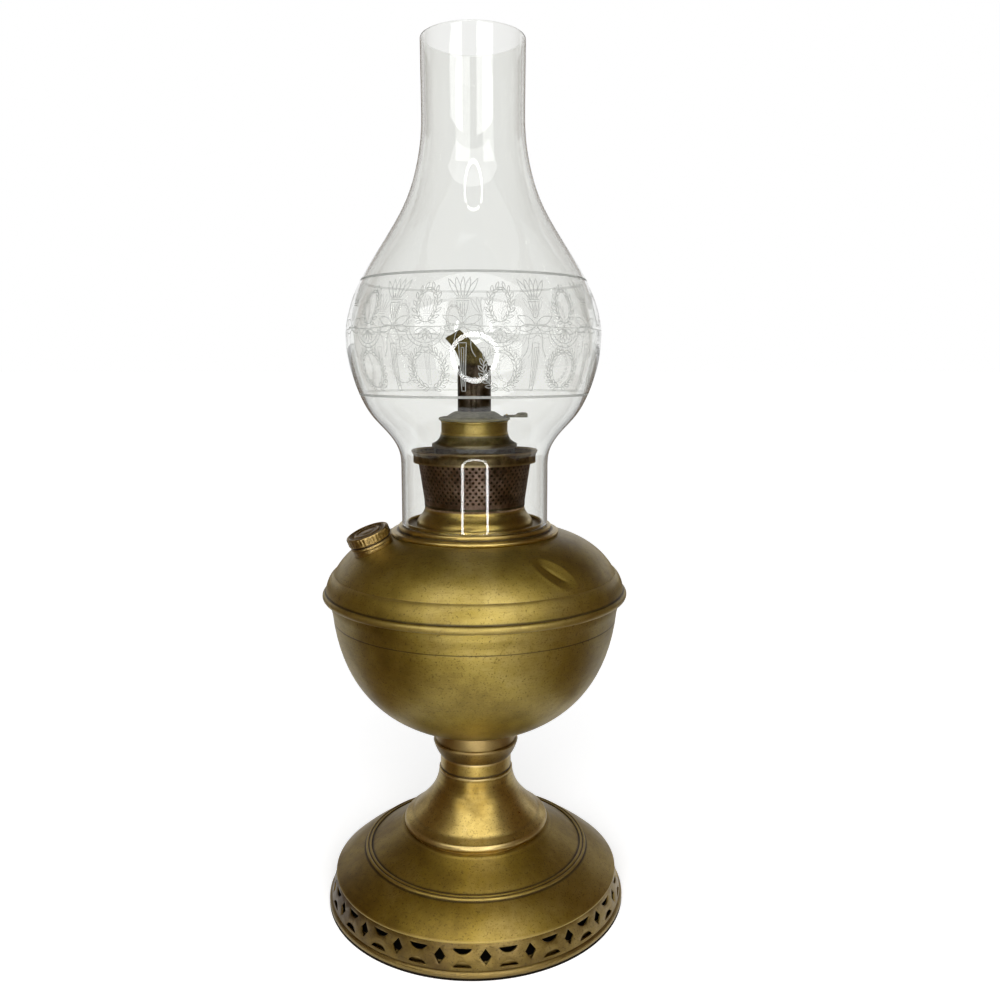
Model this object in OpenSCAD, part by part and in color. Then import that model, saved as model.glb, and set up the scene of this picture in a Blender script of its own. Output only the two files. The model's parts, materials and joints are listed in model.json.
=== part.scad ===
// Brass parlor oil lamp with a round centre-draft wick, a pierced foot and a bulged glass chimney.
// Millimetres, +Z up, origin on the lamp's axis at table level; the viewer stands at -Y.

/* [Sheet and fits] */
// Thickness of the stamped brass sheet
sheet = 0.8; // [0.6:0.1:1]
// Gap between pieces that slide or turn in each other
run_gap = 0.3; // [0.2:0.05:0.4]
// Gap between two flat faces that turn on each other
face_gap = 0.2; // [0.1:0.05:0.3]

/* [Foot] */
// Diameter over the rolled rim
foot_d = 159.2; // [150:0.2:170]
// Height of the rolled rim
rim_h = 4; // [3.4:0.1:4.6]
// How far the rim stands out past the skirt
rim_lip = 1.2; // [0.8:0.1:1.6]
// Height of the hem that stands up behind the skirt
hem_h = 3.4; // [2:0.1:4]
// Height of the pierced skirt
skirt_h = 12; // [11:0.2:14]
// How far the skirt leans in over its height
skirt_lean = 3.2; // [2:0.1:4.5]
// Number of diamonds, and of each kind of crescent
piercings = 22; // [18:1:24]
// Width of a pierced diamond
diamond_w = 5.6; // [4:0.1:6.4]
// Height of a pierced diamond
diamond_h = 7.2; // [5:0.1:8]
// Width of a pierced crescent
crescent_w = 9.2; // [7:0.1:10]
// Height of a pierced crescent
crescent_h = 2.6; // [1.6:0.1:3]
// Height of the outer dome
dome_h = 11.6; // [9:0.1:13]
// Width of the outer dome, measured along the radius
dome_w = 15.4; // [13:0.1:17]
// Thickness of each of the two beads round the dome
dome_bead = 1.5; // [1:0.1:1.8]
// Rise from the outer dome to the stem's seat
crown_h = 12.4; // [11:0.1:14]

/* [Stem] */
// Diameter over the bead at the stem's base
stem_base_d = 77.2; // [74:0.2:80]
// Height of that bead
stem_bead_h = 4.4; // [3.4:0.1:5]
// Height of the trumpet with its base bead
stem_h = 31.5; // [28:0.5:36]
// Diameter of the straight neck
stem_neck_d = 37.8; // [36:0.2:40]
// Height of the straight neck
stem_neck_h = 7; // [5:0.5:9]
// Wall of the stem
stem_wall = 1; // [0.8:0.1:1.2]
// Diameter of the cup's mouth
cup_d = 45.2; // [44:0.2:47]
// Height of the cup
cup_h = 8.5; // [7:0.1:10]
// Diameter of the lock screw in the cup
cup_screw_d = 2.4; // [1.6:0.1:3]

/* [Font] */
// Height of the boss under the bowl, above the cup
boss_h = 7; // [5:0.5:9]
// Height of the bowl up to the seam
bowl_h = 73.4; // [68:0.2:78]
// Diameter of the font's upright wall
font_d = 149.2; // [146:0.2:152]
// Height of the wall above the seam, up to the groove under the shoulder
wall_h = 11.9; // [11:0.1:14]
// How far that wall leans in to the groove
wall_lean = 1.8; // [1:0.1:2.4]
// How far the seam's bead stands out past the wall
seam_bead_out = 4.3; // [3.6:0.1:5]
// Height of the seam's bead
seam_bead_h = 4; // [3:0.1:4.6]
// How far the band above the bead stands out past the wall
seam_band_out = 2.7; // [2:0.1:3.2]
// Height of the shoulder
shoulder_h = 19.4; // [17:0.1:22]
// Diameter where the shoulder meets the collar
shoulder_top_d = 88; // [87:0.2:90]

/* [Collar] */
// Diameter over the collar's outer bead
collar_d = 86.8; // [85:0.2:87]
// Height of the collar's outer bead
collar_bead_h = 2.2; // [1.8:0.1:2.8]
// Height of the collar's inner step, which the chimney stands on
collar_step_h = 2.7; // [2:0.1:3.4]
// Width of the chimney's seat
seat_w = 3.8; // [3:0.1:4.4]
// Height of the lip that keeps the chimney in place
lip_h = 1.6; // [1:0.1:2.4]
// Diameter of the font neck at its foot
bell_d = 60; // [58:0.2:62]
// Diameter of the font neck at its mouth
bell_top_d = 51.6; // [50.6:0.2:52]
// Height of the font neck
bell_h = 8.8; // [8:0.1:10]
// Bore of the font neck
bell_bore = 46; // [45:0.2:47]

/* [Filler] */
// Distance of the filler from the font's wall
filler_inset = 20.1; // [18.6:0.1:21.6]
// Direction of the filler round the lamp, from +X
filler_turn = 203; // [190:1:215]
// Tilt of the filler away from the lamp's axis
filler_tilt = 21.5; // [18:0.5:25]
// Bore of the filler neck
filler_bore = 14; // [12:0.2:15]
// Wall of the filler neck
filler_wall = 1.2; // [1:0.1:1.6]
// Height of the filler neck above the shoulder
filler_h = 6; // [5:0.1:8]
// Diameter of the ring round the filler neck's foot
filler_ring_d = 20.6; // [19.8:0.1:21.4]
// Thickness of that ring
filler_ring_h = 1.6; // [1.2:0.1:2]
// Diameter of the filler cap
cap_d = 22; // [21.4:0.1:24]
// Thickness of the filler cap's top
cap_top = 1.4; // [1:0.1:2]
// Thickness of the filler cap's gasket
cap_gasket = 1; // [0.6:0.1:1.4]

/* [Burner] */
// Outside diameter of the wick tube
wick_tube_d = 17; // [16.6:0.1:17.6]
// Wall of the wick tube
wick_tube_wall = 0.6; // [0.5:0.05:0.7]
// Height of the wick tube above the turning cap
wick_tube_rise = 23.1; // [20:0.1:26]
// Length of the wick tube below the burner's floor
wick_tube_drop = 6; // [4:0.5:8]
// Outside diameter of the draft tube inside the wick
draft_tube_d = 10; // [9.6:0.1:10.2]
// Wall of the draft tube
draft_tube_wall = 0.8; // [0.6:0.05:0.9]
// Thickness of the gasket under the burner
burner_gasket_h = 1; // [0.6:0.1:1.4]
// Wall of the burner's screwed spigot
spigot_wall = 1.6; // [1.2:0.1:2.2]
// Length of the burner's screwed spigot
spigot_h = 9; // [7:0.5:10]
// Thickness of the burner's floor
floor_h = 1.2; // [1:0.1:1.6]
// Sheet of the burner's basket and gallery
burner_sheet = 0.6; // [0.5:0.05:0.8]
// Diameter of the basket at its top
basket_top_d = 57.8; // [56:0.2:58.4]
// Height of the basket
basket_h = 23; // [20:0.5:25]
// Diameter over the gallery's lip
gallery_d = 64.8; // [64:0.2:66]
// Height of the gallery's lip above its floor
gallery_h = 4.4; // [3:0.1:5.4]
// How far the gallery's edge hangs down over the basket
gallery_drop = 1.6; // [1:0.1:2.2]
// Diameter of the cone's lower drum
drum_d = 41.6; // [41:0.2:42.4]
// Height of the cone's lower drum
drum_h = 5.6; // [4.6:0.1:6.6]
// Height of the ridge on top of the drum
ridge_h = 2.6; // [2:0.1:3.2]
// How far the ridge stands out past the drum
ridge_out = 1; // [0.6:0.1:1.4]
// Height of the cone above the ridge
cone_h = 4.2; // [3.4:0.1:5]
// Diameter of the plain brass band above the cone
band_d = 34.6; // [34:0.2:35.4]
// Height of that band
band_h = 6.2; // [5.4:0.1:7]

/* [Wick raiser] */
// Diameter of the turning cap's flange
turn_cap_d = 36.6; // [36:0.2:38]
// Thickness of the turning cap's flange
turn_flange_h = 1.3; // [1:0.1:1.6]
// Width of the flange's flat edge
turn_flat_w = 3.6; // [3:0.1:4.2]
// Rise of the turning cap's dome
turn_dome_h = 3.2; // [2.4:0.1:4]
// Distance of the lever's tip from the axis
lever_reach = 27.2; // [25:0.2:30]
// Width of the lever
lever_w = 3.4; // [3:0.1:4]
// Thickness of the lever
lever_t = 1.1; // [0.8:0.1:1.4]
// Diameter of the rolled thumb piece at the lever's tip
thumb_d = 2.4; // [1.8:0.1:3]
// Diameter of the two lever rivets
rivet_d = 1; // [0.8:0.1:1.2]
// Wall of the raiser sleeve
sleeve_wall = 0.6; // [0.5:0.05:0.8]
// Diameter of the pins that ride in the raiser's slots
pin_d = 1.6; // [1.2:0.1:1.8]
// Travel of the wick
wick_travel = 19; // [16:0.5:20]
// Turn of the lever over the whole travel
lever_turn = 300; // [280:5:320]
// Height of the carrier that grips the wick
carrier_h = 12; // [10:0.5:14]
// Wall of the carrier
carrier_wall = 0.5; // [0.4:0.05:0.6]
// Length of wick that hangs below the tube's mouth
wick_l = 162; // [150:1:164]
// Height of the wick's free tip
tip_h = 18.4; // [14:0.2:20]
// How far the free tip leans to the left
tip_lean = 8.4; // [5:0.2:10]

/* [Chimney] */
// Diameter of the chimney's base
chimney_base_d = 75.2; // [74.4:0.2:76.2]
// Height of the chimney's straight base
chimney_base_h = 33.6; // [30:0.2:38]
// Diameter halfway up the swell
knee_d = 99.2; // [94:0.2:104]
// Height of that point above the base
knee_h = 53.2; // [51:0.2:56]
// Slope of the glass at that point
knee_angle = 45.7; // [40:0.1:52]
// Largest diameter of the chimney
bulge_d = 128.2; // [124:0.2:132]
// Height of the largest diameter above the base
bulge_h = 94.7; // [90:0.2:100]
// Diameter halfway down to the neck
throat_d = 61.2; // [57:0.2:66]
// Height of that point above the base
throat_h = 168.2; // [160:0.2:175]
// Slope of the glass at that point
throat_angle = 72.5; // [68:0.1:78]
// Diameter of the chimney's neck
neck_d = 50.6; // [48:0.2:54]
// Height of the neck's lower end above the base
neck_h = 200.6; // [195:0.2:208]
// Diameter of the chimney's mouth
mouth_d = 51.2; // [49:0.2:54]
// Height of the chimney
chimney_h = 237; // [225:0.5:250]
// Thickness of the glass
glass = 1.6; // [1.2:0.1:1.6]

/* [Hidden] */
$fn = 96;
eps = 0.05;

// Heights of the main joints, one on the other
z_skirt = rim_h;
z_dome = z_skirt + skirt_h;
z_crown = z_dome + dome_h;
z_stem = z_crown + crown_h;
z_neck = z_stem + stem_h;
z_cup = z_neck + stem_neck_h;
z_boss = z_cup + cup_h;
z_bowl = z_boss + boss_h;
z_seam = z_bowl + bowl_h;
z_shoulder = z_seam + wall_h;
z_band_in = z_shoulder - 4;
z_collar = z_shoulder + shoulder_h;
z_seat = z_collar + collar_bead_h + collar_step_h;
z_bell = z_seat + bell_h;
z_floor = z_bell + burner_gasket_h;
z_basket = z_floor + floor_h;
z_gallery = z_basket + basket_h;
z_cone = z_gallery + burner_sheet;
z_band = z_cone + drum_h + ridge_h + cone_h;
z_turn = z_band + band_h + face_gap;
z_flat = z_turn + turn_flange_h;
z_turn_top = z_flat + turn_dome_h;
z_mouth = z_turn_top + wick_tube_rise;

// Radii that several pieces share
rim_r = foot_d / 2;
rim_roll = rim_h / 2;
skirt_r = rim_r - rim_lip;
dome_r = skirt_r - skirt_lean;
crown_r = dome_r - dome_w;
stem_base_r = stem_base_d / 2;
stem_foot_in = 0.8;
stem_foot_r = stem_base_r - stem_foot_in;
stem_neck_r = stem_neck_d / 2;
font_r = font_d / 2;
groove_r = font_r - wall_lean;
groove_w = 0.4;
shoulder_top_r = shoulder_top_d / 2;
bell_bore_r = bell_bore / 2;
bell_top_r = bell_top_d / 2;
basket_r = bell_top_r + 0.1;
spigot_r = bell_bore_r - run_gap;
draft_r = draft_tube_d / 2;
wick_tube_r = wick_tube_d / 2;
wick_bore_r = wick_tube_r - wick_tube_wall;
carrier_r = wick_bore_r - run_gap;
wick_r = carrier_r - carrier_wall;
sleeve_r = wick_tube_r + run_gap;
sleeve_out_r = sleeve_r + sleeve_wall;
band_r = band_d / 2;
turn_r = turn_cap_d / 2;
turn_hole_r = wick_tube_r + run_gap;
drum_r = drum_d / 2;
z_knee = z_seat + knee_h;
z_bulge = z_seat + bulge_h;
z_throat = z_seat + throat_h;
chimney_r = chimney_base_d / 2;
chimney_bore_r = chimney_r - glass;
lip_r = chimney_bore_r - run_gap;

// Cup and boss
cup_r = cup_d / 2;
cup_bore_r = stem_neck_r - stem_wall;
boss_spigot_r = cup_bore_r - face_gap;
boss_inset = 1.1;
boss_r = cup_r - boss_inset;
boss_spigot_h = cup_h - 1;
screw_below = 1.6;
screw_depth = 1.5;
screw_z = z_boss - cup_screw_d / 2 - screw_below;

// Draft tube with its nut and spider
nut_wall = 4;
tube_nut_r = draft_r + nut_wall;
tube_nut_h = 6;
tube_end = 3;
spider_h = 2;
z_spider = z_stem - sheet - spider_h;
spider_bore_r = draft_r + face_gap;
spider_in = 2;
spider_r = stem_foot_r - spider_in;
spider_lap = 4;
dome_hole_r = spider_r - spider_lap;
spider_ring_w = 6;
spider_arms = 3;
spider_arm_w = 7;
boss_nut_r = draft_r + nut_wall;
boss_nut_h = 4;
washer_h = 1.2;
z_boss_nut = z_bowl + sheet + washer_h;
draft_top = z_mouth - 3;

// Pierced pattern: one crescent lies this far round from the front
front = -90;
pierce_phase = -3.4;
pierce_step = 360 / piercings;
pierce_margin = 2.2;
pierce_depth = skirt_lean + 3;
diamond_z = z_skirt + 0.51 * skirt_h;
upper_crescent_z = z_dome - pierce_margin;
lower_crescent_z = z_skirt + 1.4;

// Wick raiser: the pins stand at the top of their slots at rest
pin_turn = 90;
pin_z = z_turn - 13;
pin_low = pin_z - wick_travel;
slot_r = pin_d / 2 + run_gap;
sleeve_z = z_basket + 1.4;
helix_rise = wick_travel / lever_turn;
helix_end = slot_r + 0.4;
slot_half_turn = (slot_r + 0.05) / helix_rise / cos(atan(helix_rise * 180 / (PI * sleeve_out_r)));
pin_end_r = sleeve_out_r - 0.1;
wick_top = z_mouth - run_gap;

// Filler: the point on the shoulder where its axis comes out
filler_r = font_r - filler_inset;
filler_curve = shoulder_curve();
filler_z = height_at(filler_curve, filler_r);
filler_neck_r = filler_bore / 2 + filler_wall;
filler_ring_r = filler_ring_d / 2;
filler_root = 4.5;
cap_r = cap_d / 2;
cap_bore_r = filler_neck_r + run_gap;
cap_seat = filler_h + cap_gasket;
cap_skirt = 1.4;
cap_step = 0.6;
cap_groove = 1;
cap_lip_r = 0.8;
cap_dish = 0.35;
gasket_in_r = filler_bore / 2;
gasket_out_r = cap_bore_r - run_gap / 2;
cap_knurls = 36;
knurl_depth = 0.3;
knurl_r = 0.5;

// Chimney: how far its curves keep to their tangents
base_pull = 8;
knee_pull = [6.9, 12.1];
bulge_pull = [12.4, 28.4];
throat_pull = [26, 9.6];
neck_pull = 13.1;

brass = [0.62, 0.48, 0.20];
old_brass = [0.50, 0.39, 0.18];
dark_brass = [0.26, 0.21, 0.15];
copper = [0.36, 0.24, 0.17];
steel = [0.55, 0.54, 0.52];
cork = [0.45, 0.33, 0.20];
felt = [0.48, 0.42, 0.26];
clear = [0.86, 0.90, 0.90, 0.35];

// Curve with two control points
function bezier(a, b, c, d, n = 12) =
  [for (i = [0:n]) let (t = i / n, u = 1 - t)
    u * u * u * a + 3 * u * u * t * b + 3 * u * t * t * c + t * t * t * d];

// Curve from a to d; its control points are given as shares of the way in x and y
function swept(a, d, near_a, near_d, n = 12) =
  let (
    way = d - a,
    b = a + [near_a[0] * way[0], near_a[1] * way[1]],
    c = a + [near_d[0] * way[0], near_d[1] * way[1]]
  )
  bezier(a, b, c, d, n);

// Arc about a centre, from one angle to another
function arc(centre, r, from, to, n = 8) =
  [for (i = [0:n]) let (a = from + (to - from) * i / n) centre + r * [cos(a), sin(a)]];

// Curve without its first point, to join it to the one before
function rest(p) = [for (i = [1:len(p) - 1]) p[i]];

// Unit normal to the left of a stretch of outline
function left_of(a, b) = let (d = b - a) [-d[1], d[0]] / norm(d);

// Point of an outline moved sideways by t
function moved(p, i, t) =
  let (
    before = left_of(p[max(i - 1, 0)], p[max(i, 1)]),
    after = left_of(p[min(i, len(p) - 2)], p[min(i + 1, len(p) - 1)])
  )
  p[i] + t * (before + after) / (1 + before * after);

// Outline of a sheet that lies t to the left of a path
function sheet_outline(p, t) = concat(p, [for (i = [len(p) - 1:-1:0]) moved(p, i, t)]);

// Height of a falling outline at radius r
function height_at(p, r) =
  let (k = [for (i = [0:len(p) - 2]) if (p[i][0] >= r && p[i + 1][0] < r) i][0])
  p[k][1] + (p[k + 1][1] - p[k][1]) * (p[k][0] - r) / (p[k][0] - p[k + 1][0]);

module lathe(p) { rotate_extrude() polygon(p); }
module spun_sheet(p, t) { lathe(sheet_outline(p, t)); }
module ring(r_out, r_in, h) { lathe([[r_in, 0], [r_out, 0], [r_out, h], [r_in, h]]); }
module hex_ring(r_out, r_in, h) {
  difference() {
    cylinder(r = r_out, h = h, $fn = 6);
    translate([0, 0, -eps]) cylinder(r = r_in, h = h + 2 * eps);
  }
}

// A cut through a wall, drawn as seen from outside: x along the wall, y up
module wall_cut(turn, r, z, depth) {
  rotate([0, 0, turn])
    translate([r - depth, 0, z])
      rotate([90, 0, 90]) linear_extrude(2 * depth) children();
}

// Rolled rim with its flat underside and the hem that stands up behind the skirt
module foot_rim() {
  hem_out = skirt_r - skirt_lean * hem_h / skirt_h - sheet - 0.4;
  roll_c = [rim_r - rim_roll, rim_roll];
  color(brass)
    lathe(concat(
      [[hem_out - sheet, 1], [hem_out, 0]],
      arc(roll_c, rim_roll, -90, 90),
      [[hem_out, rim_h], [hem_out, rim_h + hem_h], [hem_out - sheet, rim_h + hem_h]]
    ));
}

// Half-round crescent with its flat edge at y = 0, arched to one side
module crescent(side) {
  crescent_r = (crescent_w * crescent_w / 4 + crescent_h * crescent_h) / (2 * crescent_h);
  intersection() {
    translate([0, side * (crescent_h - crescent_r)]) circle(crescent_r);
    translate([-crescent_w, side > 0 ? 0 : -crescent_w]) square([2 * crescent_w, crescent_w]);
  }
}

module diamond() {
  polygon([[diamond_w / 2, 0], [0, diamond_h / 2], [-diamond_w / 2, 0], [0, -diamond_h / 2]]);
}

// Pierced skirt of the foot
module pierced_skirt() {
  color(brass)
    difference() {
      lathe([[skirt_r - sheet, z_skirt], [skirt_r, z_skirt], [dome_r, z_dome], [dome_r - sheet, z_dome]]);
      for (k = [0:piercings - 1]) {
        turn = front + pierce_phase + k * pierce_step;
        wall_cut(turn, dome_r, upper_crescent_z, pierce_depth) crescent(-1);
        wall_cut(turn, dome_r, lower_crescent_z, pierce_depth) crescent(1);
        wall_cut(turn + pierce_step / 2, dome_r, diamond_z, pierce_depth) diamond();
      }
    }
}

// Domed top of the foot with its double bead and the seat of the stem
module foot_dome() {
  bead_r = dome_bead / 2;
  edge_out = 0.4;
  edge_h = 0.7;
  bead_from = 20;
  bead_wrap = 130;
  bead_gap = 0.3;
  seat_margin = 1.2;
  bead_a = [crown_r - bead_r, z_crown + bead_r * 0.9];
  bead_b = bead_a + [-2 * bead_r - bead_gap, bead_gap];
  inner = bead_b - [bead_r, 0];
  seat = [stem_base_r + seat_margin, z_stem];
  path = concat(
    [[dome_r + edge_out, z_dome]],
    swept([dome_r + edge_out, z_dome + edge_h], [crown_r, z_crown], [0.28, 0.34], [0.58, 0.72]),
    arc(bead_a, bead_r, bead_from, bead_from + bead_wrap, 5),
    arc(bead_b, bead_r, 2 * bead_from, 2 * bead_from + bead_wrap, 5),
    rest(swept(inner, seat, [0.25, 0.28], [0.62, 0.56])),
    [[dome_hole_r, z_stem]]
  );
  color(brass) spun_sheet(path, sheet);
}

// Trumpet stem with the bead at its base and a fine ridge below its neck
module stem() {
  bead_r = stem_bead_h / 2;
  bead_c = [stem_base_r - bead_r, z_stem + bead_r];
  bead_from = -50;
  bead_to = 70;
  ridge_r = 0.8;
  ridge_c = [stem_neck_r, z_neck - 1];
  ridge_from = -20;
  ridge_to = 80;
  flare = [stem_base_r - 3, z_stem + stem_bead_h + 0.3];
  throat = [stem_neck_r + 0.7, z_neck - 1.8];
  path = concat(
    [[stem_foot_r, z_stem]],
    arc(bead_c, bead_r, bead_from, bead_to, 7),
    rest(swept(flare, throat, [0.37, 0.28], [0.9, 0.48])),
    arc(ridge_c, ridge_r, ridge_from, ridge_to, 5),
    [[stem_neck_r, z_neck], [stem_neck_r, z_cup]]
  );
  color(old_brass) spun_sheet(path, stem_wall);
}

// Cup that holds the font on the stem
module stem_cup() {
  lip_h = 0.8;
  lip_in = 0.4;
  color(brass)
    difference() {
      lathe(concat(
        [[cup_bore_r, z_cup]],
        swept([stem_neck_r, z_cup], [cup_r, z_boss - lip_h], [0.38, 0.22], [0.76, 0.55], 8),
        [[cup_r - lip_in, z_boss], [cup_bore_r, z_boss]]
      ));
      at_screw(0) cylinder(d = cup_screw_d, h = cup_r + 1);
    }
}

// Places a piece along the lock screw, r out from the lamp's axis
module at_screw(r) {
  rotate([0, 0, front]) translate([r, 0, screw_z]) rotate([0, 90, 0]) children();
}

// Lock screw through the cup's front into the boss
module cup_screw() {
  foot_r = boss_spigot_r - screw_depth;
  screw_l = stem_neck_r + 0.6 - foot_r;
  slot_w = 0.5;
  slot_depth = 0.6;
  color(steel)
    at_screw(foot_r)
      difference() {
        cylinder(d = cup_screw_d, h = screw_l);
        translate([-slot_w / 2, -cup_screw_d, screw_l - slot_depth]) cube([slot_w, 2 * cup_screw_d, 2]);
      }
}

// Bridge under the foot's dome that the draft tube draws up
module tie_spider() {
  hub_r = tube_nut_r + 1;
  color(dark_brass)
    translate([0, 0, z_spider])
      difference() {
        union() {
          ring(spider_r, spider_r - spider_ring_w, spider_h);
          cylinder(r = hub_r, h = spider_h);
          for (k = [0:spider_arms - 1])
            rotate([0, 0, k * 360 / spider_arms])
              translate([0, -spider_arm_w / 2, 0]) cube([spider_r - 1, spider_arm_w, spider_h]);
        }
        translate([0, 0, -eps]) cylinder(r = spider_bore_r, h = spider_h + 2 * eps);
      }
}

// Nut on the draft tube's lower end
module tube_nut() {
  color(old_brass)
    translate([0, 0, z_spider - tube_nut_h]) hex_ring(tube_nut_r, draft_r, tube_nut_h);
}

// Draft tube from the foot up through the font to the flame
module draft_tube() {
  bottom = z_spider - tube_nut_h - tube_end;
  color(old_brass)
    translate([0, 0, bottom]) ring(draft_r, draft_r - draft_tube_wall, draft_top - bottom);
}

// Turned boss between cup and bowl
module font_boss() {
  color(brass)
    difference() {
      lathe([
        [draft_r, z_boss - boss_spigot_h], [boss_spigot_r, z_boss - boss_spigot_h], [boss_spigot_r, z_boss],
        [boss_r, z_boss], [boss_r, z_bowl], [draft_r, z_bowl]
      ]);
      at_screw(boss_spigot_r - screw_depth) cylinder(d = cup_screw_d, h = 2 * screw_depth);
    }
}

// Washer that seals the draft tube in the bowl's floor
module boss_washer() {
  color(cork) translate([0, 0, z_bowl + sheet]) ring(boss_nut_r + 1.5, draft_r, washer_h);
}

// Nut that draws bowl and boss together
module boss_nut() {
  color(old_brass) translate([0, 0, z_boss_nut]) hex_ring(boss_nut_r, draft_r, boss_nut_h);
}

// Lower half of the font
module font_bowl() {
  lean = 0.6;
  knee_z = z_seam - 8.4;
  upright_z = knee_z + 3;
  color(brass)
    spun_sheet(concat(
      [[draft_r, z_bowl]],
      swept([boss_r, z_bowl], [font_r - lean, knee_z], [0.465, 0.11], [0.92, 0.35], 20),
      [[font_r, upright_z], [font_r, z_seam]]
    ), sheet);
}

// Outline of the shoulder, from its groove up to the collar
function shoulder_curve() =
  swept([groove_r, z_shoulder], [shoulder_top_r, z_collar], [0.2, 0.54], [0.56, 0.86], 16);

// Places a filler piece: z along the filler's axis, 0 on the shoulder
module at_filler() {
  rotate([0, 0, filler_turn])
    translate([filler_r, 0, filler_z])
      rotate([0, filler_tilt, 0]) children();
}

// Upper half of the font, with the filler's hole
module font_shoulder() {
  path = concat([[font_r, z_seam], [font_r, z_band_in]], shoulder_curve(), [[bell_bore_r, z_collar]]);
  hole_l = 2 * filler_root;
  color(brass)
    difference() {
      spun_sheet(path, sheet);
      at_filler() translate([0, 0, -hole_l]) cylinder(r = filler_neck_r, h = 2 * hole_l);
    }
}

// Rolled bead over the seam of the two halves, and the flared band above it
module seam_ring() {
  bead_r = seam_bead_h / 2;
  bead_c = [font_r + seam_bead_out - bead_r, z_seam + 1];
  bead_from = -80;
  bead_to = 65;
  crease = [font_r + seam_band_out, bead_c[1] + bead_r];
  color(old_brass)
    lathe(concat(
      [[font_r, bead_c[1] - bead_r]],
      arc(bead_c, bead_r, bead_from, bead_to, 10),
      swept(crease, [groove_r + groove_w, z_shoulder], [0.12, 0.4], [0.5, 0.85], 10),
      [[groove_r, z_shoulder], [font_r, z_band_in]]
    ));
}

// Collar on the font with the chimney's seat and the lip inside it
module collar_ring() {
  z_step = z_collar + collar_bead_h;
  bead_c = [collar_d / 2 - collar_bead_h / 2, z_collar + collar_bead_h / 2];
  seat_out = lip_r + seat_w;
  step_r = 0.9;
  color(brass)
    lathe(concat(
      [[bell_bore_r, z_collar]],
      arc(bead_c, collar_bead_h / 2, -90, 90, 8),
      [[seat_out, z_step + 0.3]],
      arc([seat_out - step_r, z_seat - step_r], step_r, 0, 90, 5),
      [[lip_r, z_seat], [lip_r, z_seat + lip_h], [lip_r - 1, z_seat + lip_h], [lip_r - 1, z_seat],
       [bell_bore_r, z_seat]]
    ));
}

// Bell-shaped neck of the font, bored for the burner
module font_neck() {
  bell_r = bell_d / 2;
  flat = 0.8;
  color(brass)
    lathe(concat(
      [[bell_bore_r, z_seat], [bell_r, z_seat]],
      swept([bell_r, z_seat + flat], [bell_top_r, z_bell], [0.07, 0.45], [0.9, 0.5], 10),
      [[bell_bore_r, z_bell]]
    ));
}

// Solid inside the shoulder's outer face, to fit the filler's ring on it
module under_shoulder() {
  lathe(concat([[0, z_seam], [groove_r, z_seam]], shoulder_curve(), [[0, z_collar]]));
}

// Filler neck with the ring that is soldered to the shoulder
module filler_neck() {
  neck_l = filler_root + filler_h;
  ring_l = filler_root + filler_ring_h;
  color(old_brass) {
    at_filler() translate([0, 0, -filler_root]) ring(filler_neck_r, filler_bore / 2, neck_l);
    difference() {
      at_filler() translate([0, 0, -filler_root]) ring(filler_ring_r, filler_neck_r - eps, ring_l);
      under_shoulder();
    }
  }
}

// Gasket between the filler neck and its cap
module filler_gasket() {
  color(cork) at_filler() translate([0, 0, filler_h]) ring(gasket_out_r, gasket_in_r, cap_gasket);
}

// Filler cap with a knurled edge, a groove and plain rings on its top
module filler_cap() {
  top = cap_seat + cap_top;
  low = filler_ring_h + face_gap;
  skirt_top = low + cap_skirt;
  knurl_low = skirt_top + 1;
  skirt_r = cap_r - cap_step;
  throat_r = cap_r - cap_groove;
  dish_r = cap_r - 2.2;
  dish_z = top - cap_dish;
  ring_r = 0.5;
  color(brass)
    at_filler()
      difference() {
        lathe(concat(
          [[cap_bore_r, low], [skirt_r, low], [skirt_r, skirt_top], [throat_r, skirt_top + 0.3]],
          [[throat_r, knurl_low - 0.2], [cap_r, knurl_low]],
          arc([cap_r - cap_lip_r, top - cap_lip_r], cap_lip_r, 0, 90, 5),
          [[dish_r, top], [dish_r - cap_dish, dish_z]],
          arc([cap_r / 2 - ring_r, dish_z], ring_r, 0, 180, 5),
          [[0, dish_z], [0, cap_seat], [cap_bore_r, cap_seat]]
        ));
        for (k = [0:cap_knurls - 1])
          rotate([0, 0, k * 360 / cap_knurls])
            translate([cap_r + knurl_r - knurl_depth, 0, knurl_low - knurl_r])
              cylinder(r = knurl_r, h = top - knurl_low);
      }
}

// Gasket between the font neck and the burner
module burner_gasket() {
  color(cork) translate([0, 0, z_bell]) ring(bell_top_r - face_gap, bell_bore_r, burner_gasket_h);
}

// Screwed spigot of the burner; its thread is left plain
module burner_spigot() {
  color(dark_brass)
    translate([0, 0, z_floor - spigot_h]) ring(spigot_r, spigot_r - spigot_wall, spigot_h);
}

// Floor of the burner, which carries wick tube, basket and spigot
module burner_floor() {
  vents = 8;
  vent_r = 3;
  vent_at = (wick_tube_r + spigot_r - spigot_wall) / 2 + 1;
  color(dark_brass)
    translate([0, 0, z_floor])
      difference() {
        ring(basket_r, wick_tube_r, floor_h);
        for (k = [0:vents - 1])
          rotate([0, 0, k * 360 / vents])
            translate([vent_at, 0, -eps]) cylinder(r = vent_r, h = floor_h + 2 * eps);
      }
}

// Tapered basket round the burner; its fine perforation is left out
module air_basket() {
  top_r = basket_top_d / 2;
  hem = 1.2;
  color(dark_brass)
    spun_sheet([
      [basket_r, z_basket], [basket_r, z_basket + hem], [top_r, z_gallery - hem], [top_r, z_gallery]
    ], burner_sheet);
}

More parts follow.
